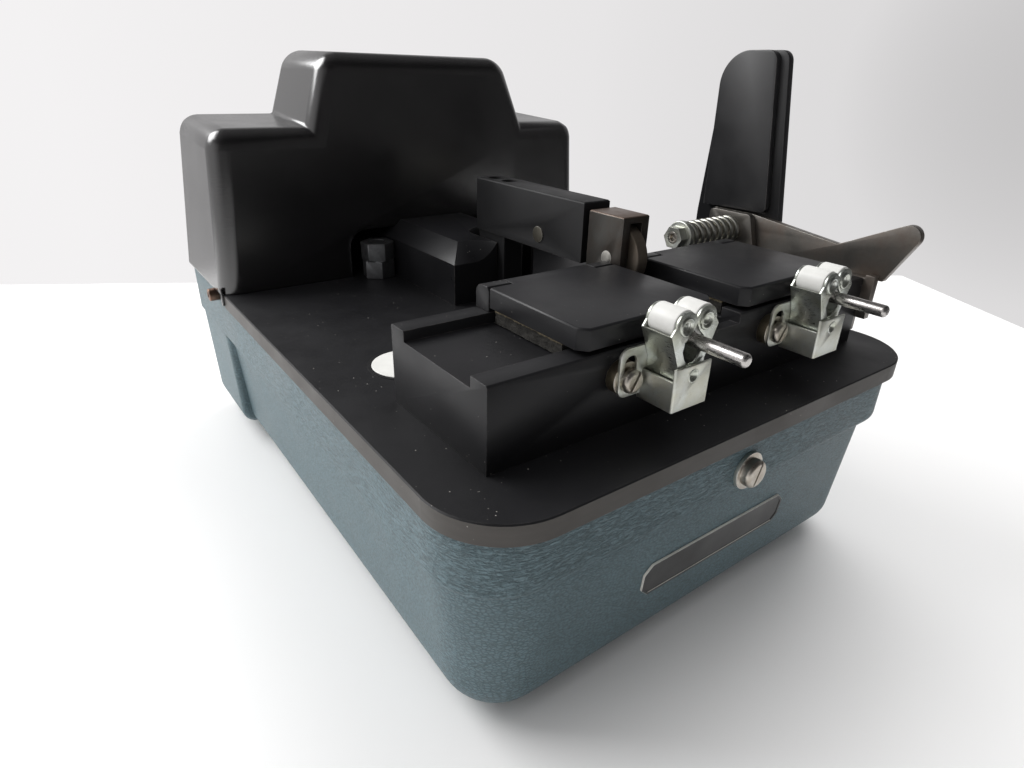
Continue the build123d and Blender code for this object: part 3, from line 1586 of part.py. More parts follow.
with BuildPart() as start_button:
    with BuildSketch(level(cap_bottom)):
        with Locations(button_place):
            Circle(button_radius)
    extrude(amount=button_height)
    fillet(start_button.edges().group_by(Axis.Z)[-1], 0.5)
save(start_button.part, "start_button")

with BuildPart() as button_switch:
    with Locations((*button_place, table_top - bezel_depth - switch_height / 2)):
        Box(switch_width, switch_depth, switch_height)
    with BuildSketch(level(table_top - bezel_depth)):
        with Locations(button_place):
            Circle(switch_pin_radius)
    extrude(amount=cap_bottom - button_travel - 0.3 - table_top + bezel_depth)
    for x in (-6.0, 0.0, 6.0):
        with Locations((button_place[0] + x, button_place[1], table_top - bezel_depth - switch_height - 3)):
            Box(0.8, 3.0, 6.0)
save(button_switch.part, "button_switch")

# --- Generator board, transformer and power inlet inside the pan ------------------------------------------------------

floor_z = pan_bottom + pan_wall
board_mid = (left + board_x, front + board_y)
board_z = floor_z + board_height
standoffs = [
    (board_mid[0] + x * (board_width / 2 - 5), board_mid[1] + y * (board_length / 2 - 5))
    for x in (-1, 1) for y in (-1, 1)
]

with BuildPart() as generator_board:
    with BuildSketch(level(floor_z)):
        with Locations(*standoffs):
            RegularPolygon(standoff_radius, 6)
    extrude(amount=board_height)
    with Locations((*board_mid, board_z + board_thickness / 2)):
        Box(board_width, board_length, board_thickness)
    top = board_z + board_thickness
    x0, y0 = board_mid
    block(x0 - 22, x0 - 4, y0 - 50, y0 - 20, top, top + 22)
    block(x0 + 6, x0 + 24, y0 - 50, y0 - 42, top, top + 26)
    for dy in (-6.0, 18.0, 42.0):
        with BuildSketch(level(top)):
            with Locations((x0 - 12, y0 + dy)):
                Circle(9.0)
        extrude(amount=24.0)
    block(x0 + 4, x0 + 24, y0 - 28, y0 - 4, top, top + 16)
    block(x0 + 8, x0 + 20, y0 + 12, y0 + 50, top, top + 9)
save(generator_board.part, "generator_board")

core_x = table_width / 2 - core_inset
core_y = front + core_back

with BuildPart() as transformer:
    with Locations((core_x, core_y, floor_z + core_height / 2)):
        Box(core_width, core_depth, core_height)
    with Locations((core_x, core_y, floor_z + core_height / 2)):
        Box(coil_width, coil_depth, coil_height)
    for side in (-1, 1):
        with Locations((core_x + side * core_width / 2, core_y, floor_z + 1.5)):
            Box(15.0, core_depth, 3.0)
save(transformer.part, "transformer")

inlet_y = front + pan_rear

with BuildPart() as power_inlet:
    with BuildSketch(along(inlet_y)) as flange:
        with Locations((inlet_place, inlet_z)):
            Rectangle(inlet_width, inlet_height)
        fillet(flange.vertices(), 2.0)
    extrude(amount=-inlet_flange)
    with BuildSketch(along(inlet_y)):
        with Locations((inlet_place, inlet_z)):
            Rectangle(inlet_width - 4, inlet_height - 4)
    extrude(amount=inlet_depth)
    with BuildSketch(along(inlet_y + inlet_flange)) as well:
        with Locations((inlet_place, inlet_z)):
            Rectangle(inlet_cavity_width, inlet_cavity_height)
        chamfer(well.vertices().group_by(Axis.Y)[-1], 4.0)
    extrude(amount=inlet_cavity_depth, mode=Mode.SUBTRACT)
    with BuildSketch(along(inlet_y + inlet_flange - inlet_cavity_depth)):
        with Locations((inlet_place - 7, inlet_z - 1), (inlet_place, inlet_z + 3), (inlet_place + 7, inlet_z - 1)):
            Rectangle(2.0, 4.0)
    extrude(amount=-inlet_cavity_depth + 3.0)
save(power_inlet.part, "power_inlet")
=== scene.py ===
"""Film splicer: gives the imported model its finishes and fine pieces, its light and its camera."""

import json
import math

import bpy
from bpy.props import FloatProperty, FloatVectorProperty, PointerProperty
from mathutils import Matrix, Vector

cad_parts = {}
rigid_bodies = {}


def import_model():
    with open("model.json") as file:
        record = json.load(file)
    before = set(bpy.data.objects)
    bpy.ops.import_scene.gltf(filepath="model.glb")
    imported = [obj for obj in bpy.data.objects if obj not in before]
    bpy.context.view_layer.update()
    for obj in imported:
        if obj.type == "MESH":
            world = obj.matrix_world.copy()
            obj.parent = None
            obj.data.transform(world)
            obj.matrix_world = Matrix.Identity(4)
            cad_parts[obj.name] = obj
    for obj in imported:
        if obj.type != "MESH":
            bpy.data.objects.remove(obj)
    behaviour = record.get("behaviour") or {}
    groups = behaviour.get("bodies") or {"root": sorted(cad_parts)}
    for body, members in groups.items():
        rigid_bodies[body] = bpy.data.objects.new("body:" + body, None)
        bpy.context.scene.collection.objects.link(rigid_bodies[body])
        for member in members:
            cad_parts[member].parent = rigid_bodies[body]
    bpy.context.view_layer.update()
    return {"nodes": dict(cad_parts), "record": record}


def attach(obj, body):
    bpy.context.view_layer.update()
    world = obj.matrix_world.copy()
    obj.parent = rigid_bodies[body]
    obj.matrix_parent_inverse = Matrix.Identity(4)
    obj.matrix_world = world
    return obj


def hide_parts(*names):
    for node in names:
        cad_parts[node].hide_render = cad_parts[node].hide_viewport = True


bl_info = {
    "name": "Film splicer",
    "version": (1, 0, 0),
    "blender": (4, 5, 0),
    "location": "3D View > Sidebar > Splicer",
    "description": "Finishes and fine pieces of a bench film splicer",
    "category": "Object",
}

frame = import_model()

MM = 0.001


# --- Shader maths ---------------------------------------------------------------------------------


class Value:
    """An output socket that adds a Math node for each Python operator used on it."""

    def __init__(self, finish, socket):
        self.finish = finish
        self.socket = socket

    def math(self, operation, other=None, first=None):
        """A Math node on this value and another, which stands first if it is given as first."""
        sockets = {0: self} if first is None else {0: first, 1: self}
        if other is not None:
            sockets[1] = other
        return self.finish.add("ShaderNodeMath", {"operation": operation}, sockets).value()

    def __add__(self, other):
        return self.math("ADD", other)

    def __mul__(self, other):
        return self.math("MULTIPLY", other)

    def __rsub__(self, other):
        return self.math("SUBTRACT", first=other)

    __radd__ = __add__

    def between(self, low, high, start=0.0, end=1.0):
        """The value taken from low..high to start..end, held at both ends."""
        sockets = {"Value": self, "From Min": low, "From Max": high, "To Min": start, "To Max": end}
        return self.finish.add("ShaderNodeMapRange", {"clamp": True}, sockets).value("Result")


class Node:
    """One node of a tree, whose outputs are read by name or number."""

    def __init__(self, finish, node):
        self.finish = finish
        self.node = node

    def value(self, name=0):
        return Value(self.finish, self.node.outputs[name])


class Nodes:
    """A node tree, a material's or the world's, that nodes are added to."""

    def __init__(self, tree):
        self.tree = tree

    def add(self, kind, settings=None, sockets=None):
        """A node of that type: settings are put on first, then each socket's value or link."""
        node = self.tree.nodes.new(kind)
        for name, setting in (settings or {}).items():
            if name == "stops":
                self.stops(node.color_ramp, setting)
            else:
                setattr(node, name, setting)
        for name, source in (sockets or {}).items():
            if isinstance(source, Value):
                self.tree.links.new(source.socket, node.inputs[name])
            else:
                node.inputs[name].default_value = source
        return Node(self, node)

    def stops(self, ramp, stops):
        """Gives a colour ramp its places and colours."""
        while len(ramp.elements) < len(stops):
            ramp.elements.new(0.5)
        for element, (place, colour) in zip(ramp.elements, stops):
            element.position = place
            element.color = (*colour, 1.0)

    def axes(self, vector):
        """The three parts of a vector, by letter."""
        parts = self.add("ShaderNodeSeparateXYZ", None, {"Vector": vector})
        return {letter: parts.value(letter) for letter in "XYZ"}

    def dot(self, one, two):
        """The dot product of two vectors."""
        settings = {"operation": "DOT_PRODUCT"}
        return self.add("ShaderNodeVectorMath", settings, {0: one, 1: two}).value("Value")


class Finish(Nodes):
    """A material made from nodes, with one Principled shader at its end."""

    def __init__(self, name, **fixed):
        self.material = bpy.data.materials.new(name)
        self.material.use_nodes = True
        super().__init__(self.material.node_tree)
        self.shader = self.tree.nodes["Principled BSDF"]
        for socket, number in fixed.items():
            self.shader.inputs[socket.replace("_", " ")].default_value = number

    def place(self, turn=(0, 0, 0), stretch=(1, 1, 1)):
        """Object coordinates, turned in degrees and stretched."""
        where = self.add("ShaderNodeTexCoord").value("Object")
        angles = tuple(math.radians(a) for a in turn)
        sockets = {"Vector": where, "Rotation": angles, "Scale": stretch}
        return self.add("ShaderNodeMapping", None, sockets).value("Vector")

    def noise(self, where, scale, detail=4.0, roughness=0.55, distortion=0.0):
        """Cloudy noise from 0 to 1."""
        sockets = {
            "Vector": where, "Scale": scale, "Detail": detail, "Roughness": roughness,
            "Distortion": distortion,
        }
        return self.add("ShaderNodeTexNoise", None, sockets).value("Fac")

    def cells(self, where, scale, feature="F1"):
        """How far a place lies from the nearest point, or border, of cells at that scale."""
        sockets = {"Vector": where, "Scale": scale}
        return self.add("ShaderNodeTexVoronoi", {"feature": feature}, sockets).value("Distance")

    def rounded(self, width):
        """The normal of a surface whose edges are softened by that width."""
        return self.add("ShaderNodeBevel", {"samples": 6}, {"Radius": width}).value("Normal")

    def edges(self, width):
        """1 along sharp edges, 0 on flats."""
        flat = self.add("ShaderNodeNewGeometry").value("Normal")
        return (1.0 - self.dot(self.rounded(width), flat)).between(0.02, 0.2)

    def mix(self, amount, one, two):
        """Colour between one and two."""
        colours = [c if isinstance(c, Value) else (*c, 1.0) for c in (one, two)]
        settings = {"data_type": "RGBA", "blend_type": "MIX"}
        node = self.add("ShaderNodeMix", settings, {"Factor": amount, 6: colours[0], 7: colours[1]})
        return node.value(2)

    def feed(self, **sources):
        """Links values to the shader's sockets; a name has an underscore for each space."""
        for name, source in sources.items():
            self.tree.links.new(source.socket, self.shader.inputs[name.replace("_", " ")])

    def bump(self, height, distance, strength, under=None):
        """The normal of a surface raised by a height, on top of another normal if one is given."""
        sockets = {"Height": height, "Distance": distance, "Strength": strength}
        if under is not None:
            sockets["Normal"] = under
        return self.add("ShaderNodeBump", None, sockets).value("Normal")


def linear(red, green, blue):
    """Linear colour of an sRGB colour given as 0..255."""
    return tuple(
        (c / 255 / 12.92) if c <= 10 else ((c / 255 + 0.055) / 1.055) ** 2.4 for c in (red, green, blue)
    )


# --- Finishes -------------------------------------------------------------------------------------


def grained_pan(colour):
    """Moulded plastic with a leathery grain, coarser and drawn sideways on the upper band; its grooves
    are darkened as painted shade.
    """
    finish = Finish("blue_grey_grained_plastic", IOR=1.5)
    where = finish.place()
    high = finish.axes(where)["Z"].between(0.052, 0.060)
    wander = finish.noise(finish.place(stretch=(1, 1, 2.6)), 210, 3, 0.6, 0.6)
    creases = finish.noise(finish.place(turn=(0, 4, 0), stretch=(1, 1, 5)), 330, 4, 0.65, 0.9)
    cells = finish.cells(finish.place(stretch=(1, 1, 1.7)), 620, "DISTANCE_TO_EDGE")
    pebble = cells.between(0.0, 0.22)
    mottle = finish.noise(where, 24, 5, 0.6)
    ridges = creases.between(0.4, 0.54)
    light = tuple(c * 1.16 + 0.012 for c in colour)
    # The grain's low places, the pebble borders and the hollows between the creases, fall to half the
    # colour: painted shade in the grooves.
    dark = tuple(c * 0.5 for c in colour)
    shade = finish.mix(mottle.between(0.35, 0.65), tuple(colour), light)
    lines = pebble * (0.75 - high * 0.45) + ridges * (0.25 + high * 0.45)
    tint = finish.mix(lines, dark, shade)
    height = pebble * 0.45 + wander * 0.3 + ridges * (0.25 + high * 0.6)
    finish.feed(Base_Color=tint, Roughness=mottle.between(0.3, 0.7, 0.4, 0.52))
    finish.feed(Normal=finish.bump(height, 0.00025, 0.9, finish.rounded(0.0009)))
    return finish.material


def formed_cover(colour):
    """Black sheet formed over a mould: a soft sheen, a fine grain and a slightly uneven surface."""
    finish = Finish("black_formed_sheet", IOR=2.0)
    where = finish.place()
    grain = finish.noise(where, 1500, 2, 0.6)
    waves = finish.noise(where, 18, 2, 0.4)
    haze = finish.noise(where, 45, 4)
    specks = finish.cells(where, 330).between(0.035, 0.02)
    specks = specks * finish.noise(where, 40, 2).between(0.56, 0.62)
    shade = finish.mix(haze.between(0.3, 0.75), colour, tuple(c * 1.5 + 0.001 for c in colour))
    shade = finish.mix(specks * 0.8, shade, (0.35, 0.34, 0.32))
    finish.feed(Base_Color=shade, Roughness=haze.between(0.3, 0.7, 0.2, 0.27))
    surface = finish.bump(waves, 0.0012, 0.25, finish.rounded(0.0012))
    finish.feed(Normal=finish.bump(grain, 0.00006, 0.5, surface))
    return finish.material


def upward(finish):
    """How far the surface faces up in the world, from -1 to 1."""
    facing = finish.add("ShaderNodeNewGeometry").value("Normal")
    return finish.axes(facing)["Z"]


def anodised(name, colour, roughness, dust, worn=(0.13, 0.12, 0.115), edge=0.0006, side=None):
    """Black anodised aluminium with dust specks, paler on its rubbed edges and, if given, on its upright
    sides, whose paler colour is a painted sheen.
    """
    finish = Finish(name, Metallic=0.1, IOR=1.42)
    where = finish.place()
    cloud = finish.noise(where, 40, 5, 0.6)
    fine = finish.noise(where, 1500, 2)
    rub = finish.edges(edge) * finish.noise(where, 300, 4).between(0.35, 0.6)
    shade = finish.mix(cloud.between(0.3, 0.75), colour, tuple(c * 1.35 + 0.001 for c in colour))
    # The upright sides take the given paler colour, streaked: a painted sheen for the light they catch,
    # not a colour of their own.
    if side:
        upright = (1.0 - upward(finish).math("ABSOLUTE")).between(0.5, 0.8)
        side_sheen_streaks = finish.noise(finish.place(stretch=(1, 1, 6)), 90, 4).between(0.2, 0.8)
        shade = finish.mix(upright, shade, finish.mix(side_sheen_streaks, side, tuple(c * 1.3 for c in side)))
    shade = finish.mix(rub * 0.7, shade, worn)
    rough = cloud.between(0.3, 0.7, roughness - 0.06, roughness + 0.08)
    specks = finish.cells(where, 400).between(0.07 * dust, 0.04 * dust)
    sparse = finish.noise(where, 55, 2).between(0.5, 0.6)
    lint = finish.cells(finish.place(turn=(0, 0, 30), stretch=(1, 6, 1)), 60).between(0.03, 0.02)
    marks = specks * sparse + lint * sparse * 0.6
    shade = finish.mix(marks, shade, (0.42, 0.4, 0.37))
    rough = rough + marks * 0.4
    finish.feed(Base_Color=shade, Roughness=rough, Normal=finish.bump(fine, 0.00003, 0.3))
    return finish.material


# Width in metres of the paler line where a metal edge is rubbed
RUBBED = 0.0004


def plated(name, colour, tint, roughness=0.3, spots=0.5):
    """Plated sheet or wire: bright, with a drifting tint, fine scratches and paler edges."""
    finish = Finish(name, Metallic=1.0)
    where = finish.place()
    drift = finish.noise(where, 150, 5, 0.65, 0.4)
    streaks = finish.noise(finish.place(turn=(0, 15, 0), stretch=(1, 1, 9)), 600, 3)
    pits = finish.noise(where, 1100, 3, 0.7)
    shade = finish.mix(drift.between(0.38, 0.66), colour, tint)
    shade = finish.mix(pits.between(0.6, 0.74) * spots, shade, tuple(c * 0.5 for c in colour))
    shade = finish.mix(finish.edges(RUBBED) * 0.7, shade, (0.8, 0.8, 0.76))
    rough = streaks.between(0.3, 0.7, roughness - 0.06, roughness + 0.12) + drift * 0.08
    finish.feed(Base_Color=shade, Roughness=rough, Normal=finish.bump(streaks, 0.000012, 0.3))
    return finish.material


def bare_steel(name, colour, stain, roughness=0.4, top=None):
    """Ground steel with brown stains and grinding lines; its upper faces may be browner."""
    finish = Finish(name, Metallic=0.85)
    where = finish.place()
    blot = finish.noise(where, 70, 6, 0.65)
    streaks = finish.noise(finish.place(stretch=(1, 14, 1)), 240, 4)
    shade = finish.mix(blot.between(0.42, 0.7), colour, stain)
    if top:
        shade = finish.mix(upward(finish).between(0.5, 0.8) * 0.8, shade, top)
    shade = finish.mix(streaks.between(0.4, 0.75) * 0.35, shade, tuple(c * 0.65 for c in colour))
    shade = finish.mix(finish.edges(RUBBED) * 0.5, shade, (0.6, 0.58, 0.54))
    rough = blot.between(0.3, 0.7, roughness - 0.08, roughness + 0.16)
    finish.feed(Base_Color=shade, Roughness=rough, Normal=finish.bump(streaks, 0.00004, 0.4))
    return finish.material


def nylon(name, colour):
    """Moulded white nylon with faint turning rings."""
    finish = Finish(name, IOR=1.52)
    where = finish.place()
    cloud = finish.noise(where, 300, 4)
    rings = finish.noise(finish.place(stretch=(1, 30, 1)), 90, 2)
    shade = finish.mix(cloud.between(0.4, 0.75) * 0.5, colour, tuple(c * 0.86 for c in colour))
    finish.feed(Base_Color=shade, Roughness=cloud.between(0.3, 0.7, 0.4, 0.52))
    finish.feed(Normal=finish.bump(rings, 0.00003, 0.5))
    return finish.material


def black_sheet(name, colour, line):
    """Smooth black plate with a thin worn line along its edges."""
    finish = Finish(name, IOR=1.5)
    where = finish.place()
    cloud = finish.noise(where, 60, 4, 0.6)
    weave = finish.noise(where, 1300, 2)
    rub = finish.edges(0.0005) * finish.noise(where, 120, 4).between(0.4, 0.55)
    shade = finish.mix(cloud.between(0.3, 0.75), colour, tuple(c * 1.4 + 0.002 for c in colour))
    shade = finish.mix(rub, shade, line)
    finish.feed(Base_Color=shade, Roughness=cloud.between(0.3, 0.7, 0.34, 0.44))
    finish.feed(Normal=finish.bump(weave, 0.00003, 0.3))
    return finish.material


def felt(name, colour, torn, edge_height):
    """Dark pressed felt whose torn upper edge shows tan fibres."""
    finish = Finish(name, Roughness=0.9, IOR=1.4)
    where = finish.place()
    fibres = finish.noise(finish.place(stretch=(1, 1, 0.4)), 2200, 4, 0.7)
    clumps = finish.noise(where, 420, 4, 0.7)
    rise = finish.axes(where)["Z"] + clumps * 0.0012
    edge = rise.between(edge_height - 0.0001, edge_height + 0.0004)
    shade = finish.mix(clumps.between(0.35, 0.7), colour, tuple(c * 2.2 for c in colour))
    shade = finish.mix(edge, shade, torn)
    finish.feed(Base_Color=shade, Normal=finish.bump(fibres + clumps, 0.0004, 0.9))
    return finish.material


def plain(name, colour, roughness, metallic=0.0):
    """A plain surface with a faint grain."""
    finish = Finish(name, Metallic=metallic, IOR=1.5)
    where, grain = finish.place(), 400
    cloud = finish.noise(where, grain / 6, 4)
    fine = finish.noise(where, grain, 3)
    shade = finish.mix(cloud.between(0.3, 0.7), colour, tuple(c * 0.8 for c in colour))
    finish.feed(Base_Color=shade, Roughness=cloud.between(0.3, 0.7, roughness - 0.05, roughness + 0.08))
    finish.feed(Normal=finish.bump(fine, 0.00005, 0.5))
    return finish.material


# --- Modelling helpers ----------------------------------------------------------------------------


# The table's front left corner, on its top, from which the splicer's own places are measured
CORNER = Vector((-101.6, -137.1, 83.35))

# Middles of the two clamps and catches, right of that corner
SIDES = (("left", 73.75), ("right", 141.75))

# A catch's front face and pivot, and its rollers: how far they stand from its middle, and their height
CATCH_FRONT, CATCH_PIVOT = 6.4, 20.3
ROLLER_APART, ROLLER_HEIGHT = 4.45, 34.74

# Height above the floor, in metres, from which the torn felt shows its tan fibres
TORN_FROM = 0.1099

AXES = {"Y": Vector((0, 1, 0)), "Z": Vector((0, 0, 1))}
LEFT, FORWARD = Vector((-1, 0, 0)), Vector((0, -1, 0))


def at(x, y, z):
    """A place in metres, from millimetres right of, behind and above the table's front left corner."""
    return (CORNER + Vector((x, y, z))) * MM


def only(*objects):
    """Selects these objects and nothing else, the first of them active."""
    for other in bpy.context.view_layer.objects:
        other.select_set(False)
    for obj in objects:
        obj.select_set(True)
    if objects:
        bpy.context.view_layer.objects.active = objects[0]


def editing(obj, kind="VERT"):
    """Clears the mesh's selection and sets what is selected in it."""
    only(obj)
    bpy.ops.object.mode_set(mode="EDIT")
    bpy.ops.mesh.select_mode(type=kind)
    bpy.ops.mesh.select_all(action="DESELECT")
    bpy.ops.object.mode_set(mode="OBJECT")


def pick(obj, test):
    """Selects the vertices whose place, in metres, passes the test, and opens the mesh; counts them."""
    editing(obj)
    chosen = 0
    for vertex in obj.data.vertices:
        vertex.select = bool(test(obj.matrix_world @ vertex.co))
        chosen += vertex.select
    bpy.ops.object.mode_set(mode="EDIT")
    return chosen


def close_mesh(angle=35):
    """Merges, points the faces outwards, puts the place in the mesh and smooths by angle."""
    bpy.ops.mesh.select_all(action="SELECT")
    bpy.ops.mesh.remove_doubles(threshold=0.000002)
    bpy.ops.mesh.normals_make_consistent(inside=False)
    bpy.ops.object.mode_set(mode="OBJECT")
    bpy.ops.object.transform_apply(location=True, rotation=True, scale=True)
    bpy.ops.object.shade_smooth_by_angle(angle=math.radians(angle))


def cuboid(name, place, size, turn=0.0):
    """A cuboid of a size in mm, turned about the upright; all of it is selected, open for editing."""
    only()
    bpy.ops.mesh.primitive_cube_add(size=1, location=place)
    obj = bpy.context.view_layer.objects.active
    obj.name = name
    obj.scale = Vector(size) * MM
    obj.rotation_euler.z = turn
    bpy.ops.object.transform_apply(location=True, rotation=True, scale=True)
    bpy.ops.object.mode_set(mode="EDIT")
    bpy.ops.mesh.select_all(action="SELECT")
    return obj


def single_point(name, place):
    """A mesh of one vertex, open for editing."""
    only()
    bpy.ops.mesh.primitive_plane_add(size=0.0002, location=place)
    obj = bpy.context.view_layer.objects.active
    obj.name = name
    bpy.ops.object.mode_set(mode="EDIT")
    bpy.ops.mesh.select_mode(type="VERT")
    bpy.ops.mesh.select_all(action="SELECT")
    bpy.ops.mesh.merge(type="CENTER")
    return obj


def turned(name, profile, centre, along, steps, angle=35):
    """A turned piece: points given as (radius, reach) in mm, spun about a level axis."""
    points = [centre + (AXES["Z"] * radius + along * reach) * MM for radius, reach in profile]
    obj = single_point(name, points[0])
    for start, end in zip(points, points[1:]):
        bpy.ops.mesh.extrude_vertices_move(TRANSFORM_OT_translate={"value": end - start})
    bpy.ops.mesh.select_all(action="SELECT")
    bpy.ops.mesh.spin(steps=steps, angle=2 * math.pi, center=centre, axis=along)
    close_mesh(angle)
    return obj


def cut_plate(name, outline, axis, near, far):
    """A flat piece: an outline in mm square to the Y or Z axis, thick from near to far."""
    place = {"Y": lambda a, b: at(a, near, b), "Z": lambda a, b: at(a, b, near)}[axis]
    points = [place(a, b) for a, b in outline]
    obj = single_point(name, points[0])
    for start, end in zip(points, points[1:]):
        bpy.ops.mesh.extrude_vertices_move(TRANSFORM_OT_translate={"value": end - start})
    bpy.ops.mesh.select_all(action="SELECT")
    bpy.ops.mesh.edge_face_add()
    bpy.ops.mesh.extrude_region_move(TRANSFORM_OT_translate={"value": AXES[axis] * (far - near) * MM})
    close_mesh()
    return obj


def modified(obj, kind, **settings):
    """Adds a modifier, sets it and applies it."""
    only(obj)
    bpy.ops.object.modifier_add(type=kind)
    modifier = obj.modifiers[-1]
    for name, setting in settings.items():
        setattr(modifier, name, setting)
    bpy.ops.object.modifier_apply(modifier=modifier.name)


def carved(obj, *cutters):
    """Cuts the cutters out of the object and removes them."""
    for cutter in cutters:
        modified(obj, "BOOLEAN", operation="DIFFERENCE", solver="EXACT", object=cutter)
        bpy.data.objects.remove(cutter, do_unlink=True)


def joined(obj, *others):
    """Makes one object of several."""
    only(obj, *others)
    bpy.ops.object.join()
    return obj


def body_of(node):
    """The CAD body that carries a node."""
    bodies = frame["record"]["behaviour"]["bodies"]
    return next((body for body, nodes in bodies.items() if node in nodes), "base")


def finished(obj, finish, node):
    """Fixes a piece's place, gives it a finish and lets it stand for a CAD node on its body."""
    only(obj)
    bpy.ops.object.transform_apply(location=True, rotation=True, scale=True)
    obj.data.materials.clear()
    obj.data.materials.append(material(finish))
    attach(obj, body_of(node))
    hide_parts(node)
    return obj


def second_finish(obj, finish, test):
    """Gives another finish to faces whose middle, in mm from the table's corner, passes the test."""
    obj.data.materials.append(material(finish))
    number = len(obj.data.materials) - 1
    for face in obj.data.polygons:
        if test(face.center / MM - CORNER):
            face.material_index = number


def dress(name, finish):
    """Puts a finish on a CAD node that is shown as it is."""
    obj = frame["nodes"][name]
    obj.data.materials.clear()
    obj.data.materials.append(material(finish))


def copy_of(name):
    """A copy of a CAD node's mesh, merged into flat faces, ready for shaping."""
    only(frame["nodes"][name])
    bpy.ops.object.duplicate()
    obj = bpy.context.view_layer.objects.active
    obj.name = f"{name}_shaped"
    for key in list(obj.keys()):
        if key.startswith("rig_"):
            del obj[key]
    obj.parent = None
    obj.matrix_world = Matrix.Identity(4)
    bpy.ops.object.mode_set(mode="EDIT")
    bpy.ops.mesh.select_all(action="SELECT")
    bpy.ops.mesh.remove_doubles(threshold=0.000002)
    bpy.ops.mesh.dissolve_limited(angle_limit=math.radians(0.6))
    bpy.ops.object.mode_set(mode="OBJECT")
    return obj


def ease(obj, width, segments=2):
    """Rounds the sharp edges of a copy by a width in mm."""
    sharp = math.radians(32)
    modified(
        obj, "BEVEL", width=width * MM, segments=segments, limit_method="ANGLE", angle_limit=sharp
    )
    bpy.ops.object.shade_smooth_by_angle(angle=sharp)
    return obj


def eased(name, finish, width, segments=2):
    """A machined CAD node with its sharp edges rounded by a width in mm."""
    return finished(ease(copy_of(name), width, segments), finish, name)


# --- Settings -------------------------------------------------------------------------------------


class SplicerFinishes(bpy.types.PropertyGroup):
    """Colours that a user would change."""

    pan: FloatVectorProperty(
        name="Pan", description="Colour of the grained base pan", subtype="COLOR",
        default=linear(90, 113, 120),
    )
    cover: FloatVectorProperty(
        name="Cover", description="Colour of the formed rear cover", subtype="COLOR",
        default=linear(17, 16, 17),
    )
    anodised: FloatVectorProperty(
        name="Anodised", description="Colour of the black anodised parts", subtype="COLOR",
        default=linear(25, 25, 27),
    )
    # The table plate's sides are painted paler than its top: this colour is a painted sheen, not the
    # sides' own colour.
    table_side_sheen: FloatVectorProperty(
        name="Table edge", description="Colour of the table plate's bare sides", subtype="COLOR",
        default=linear(66, 63, 60),
    )
    floor: FloatVectorProperty(
        name="Floor", description="Colour of the white table it stands on", subtype="COLOR",
        default=(0.9, 0.9, 0.895),
    )


class SplicerSizes(bpy.types.PropertyGroup):
    """Sizes that a user would change."""

    edge: FloatProperty(
        name="Edge", description="Rounding of the machined edges, in millimetres",
        default=0.4, min=0.1, max=2.0,
    )
    lens: FloatProperty(
        name="Lens", description="Focal length for a 36 mm wide sensor", default=22.43, min=10, max=80
    )
    window: FloatProperty(
        name="Window", description="Power of the lamp behind and left", subtype="POWER", unit="POWER",
        default=18.0,
    )
    ceiling: FloatProperty(
        name="Ceiling", description="Power of the lamp above", subtype="POWER", unit="POWER",
        default=14.0,
    )


MATERIALS = {}


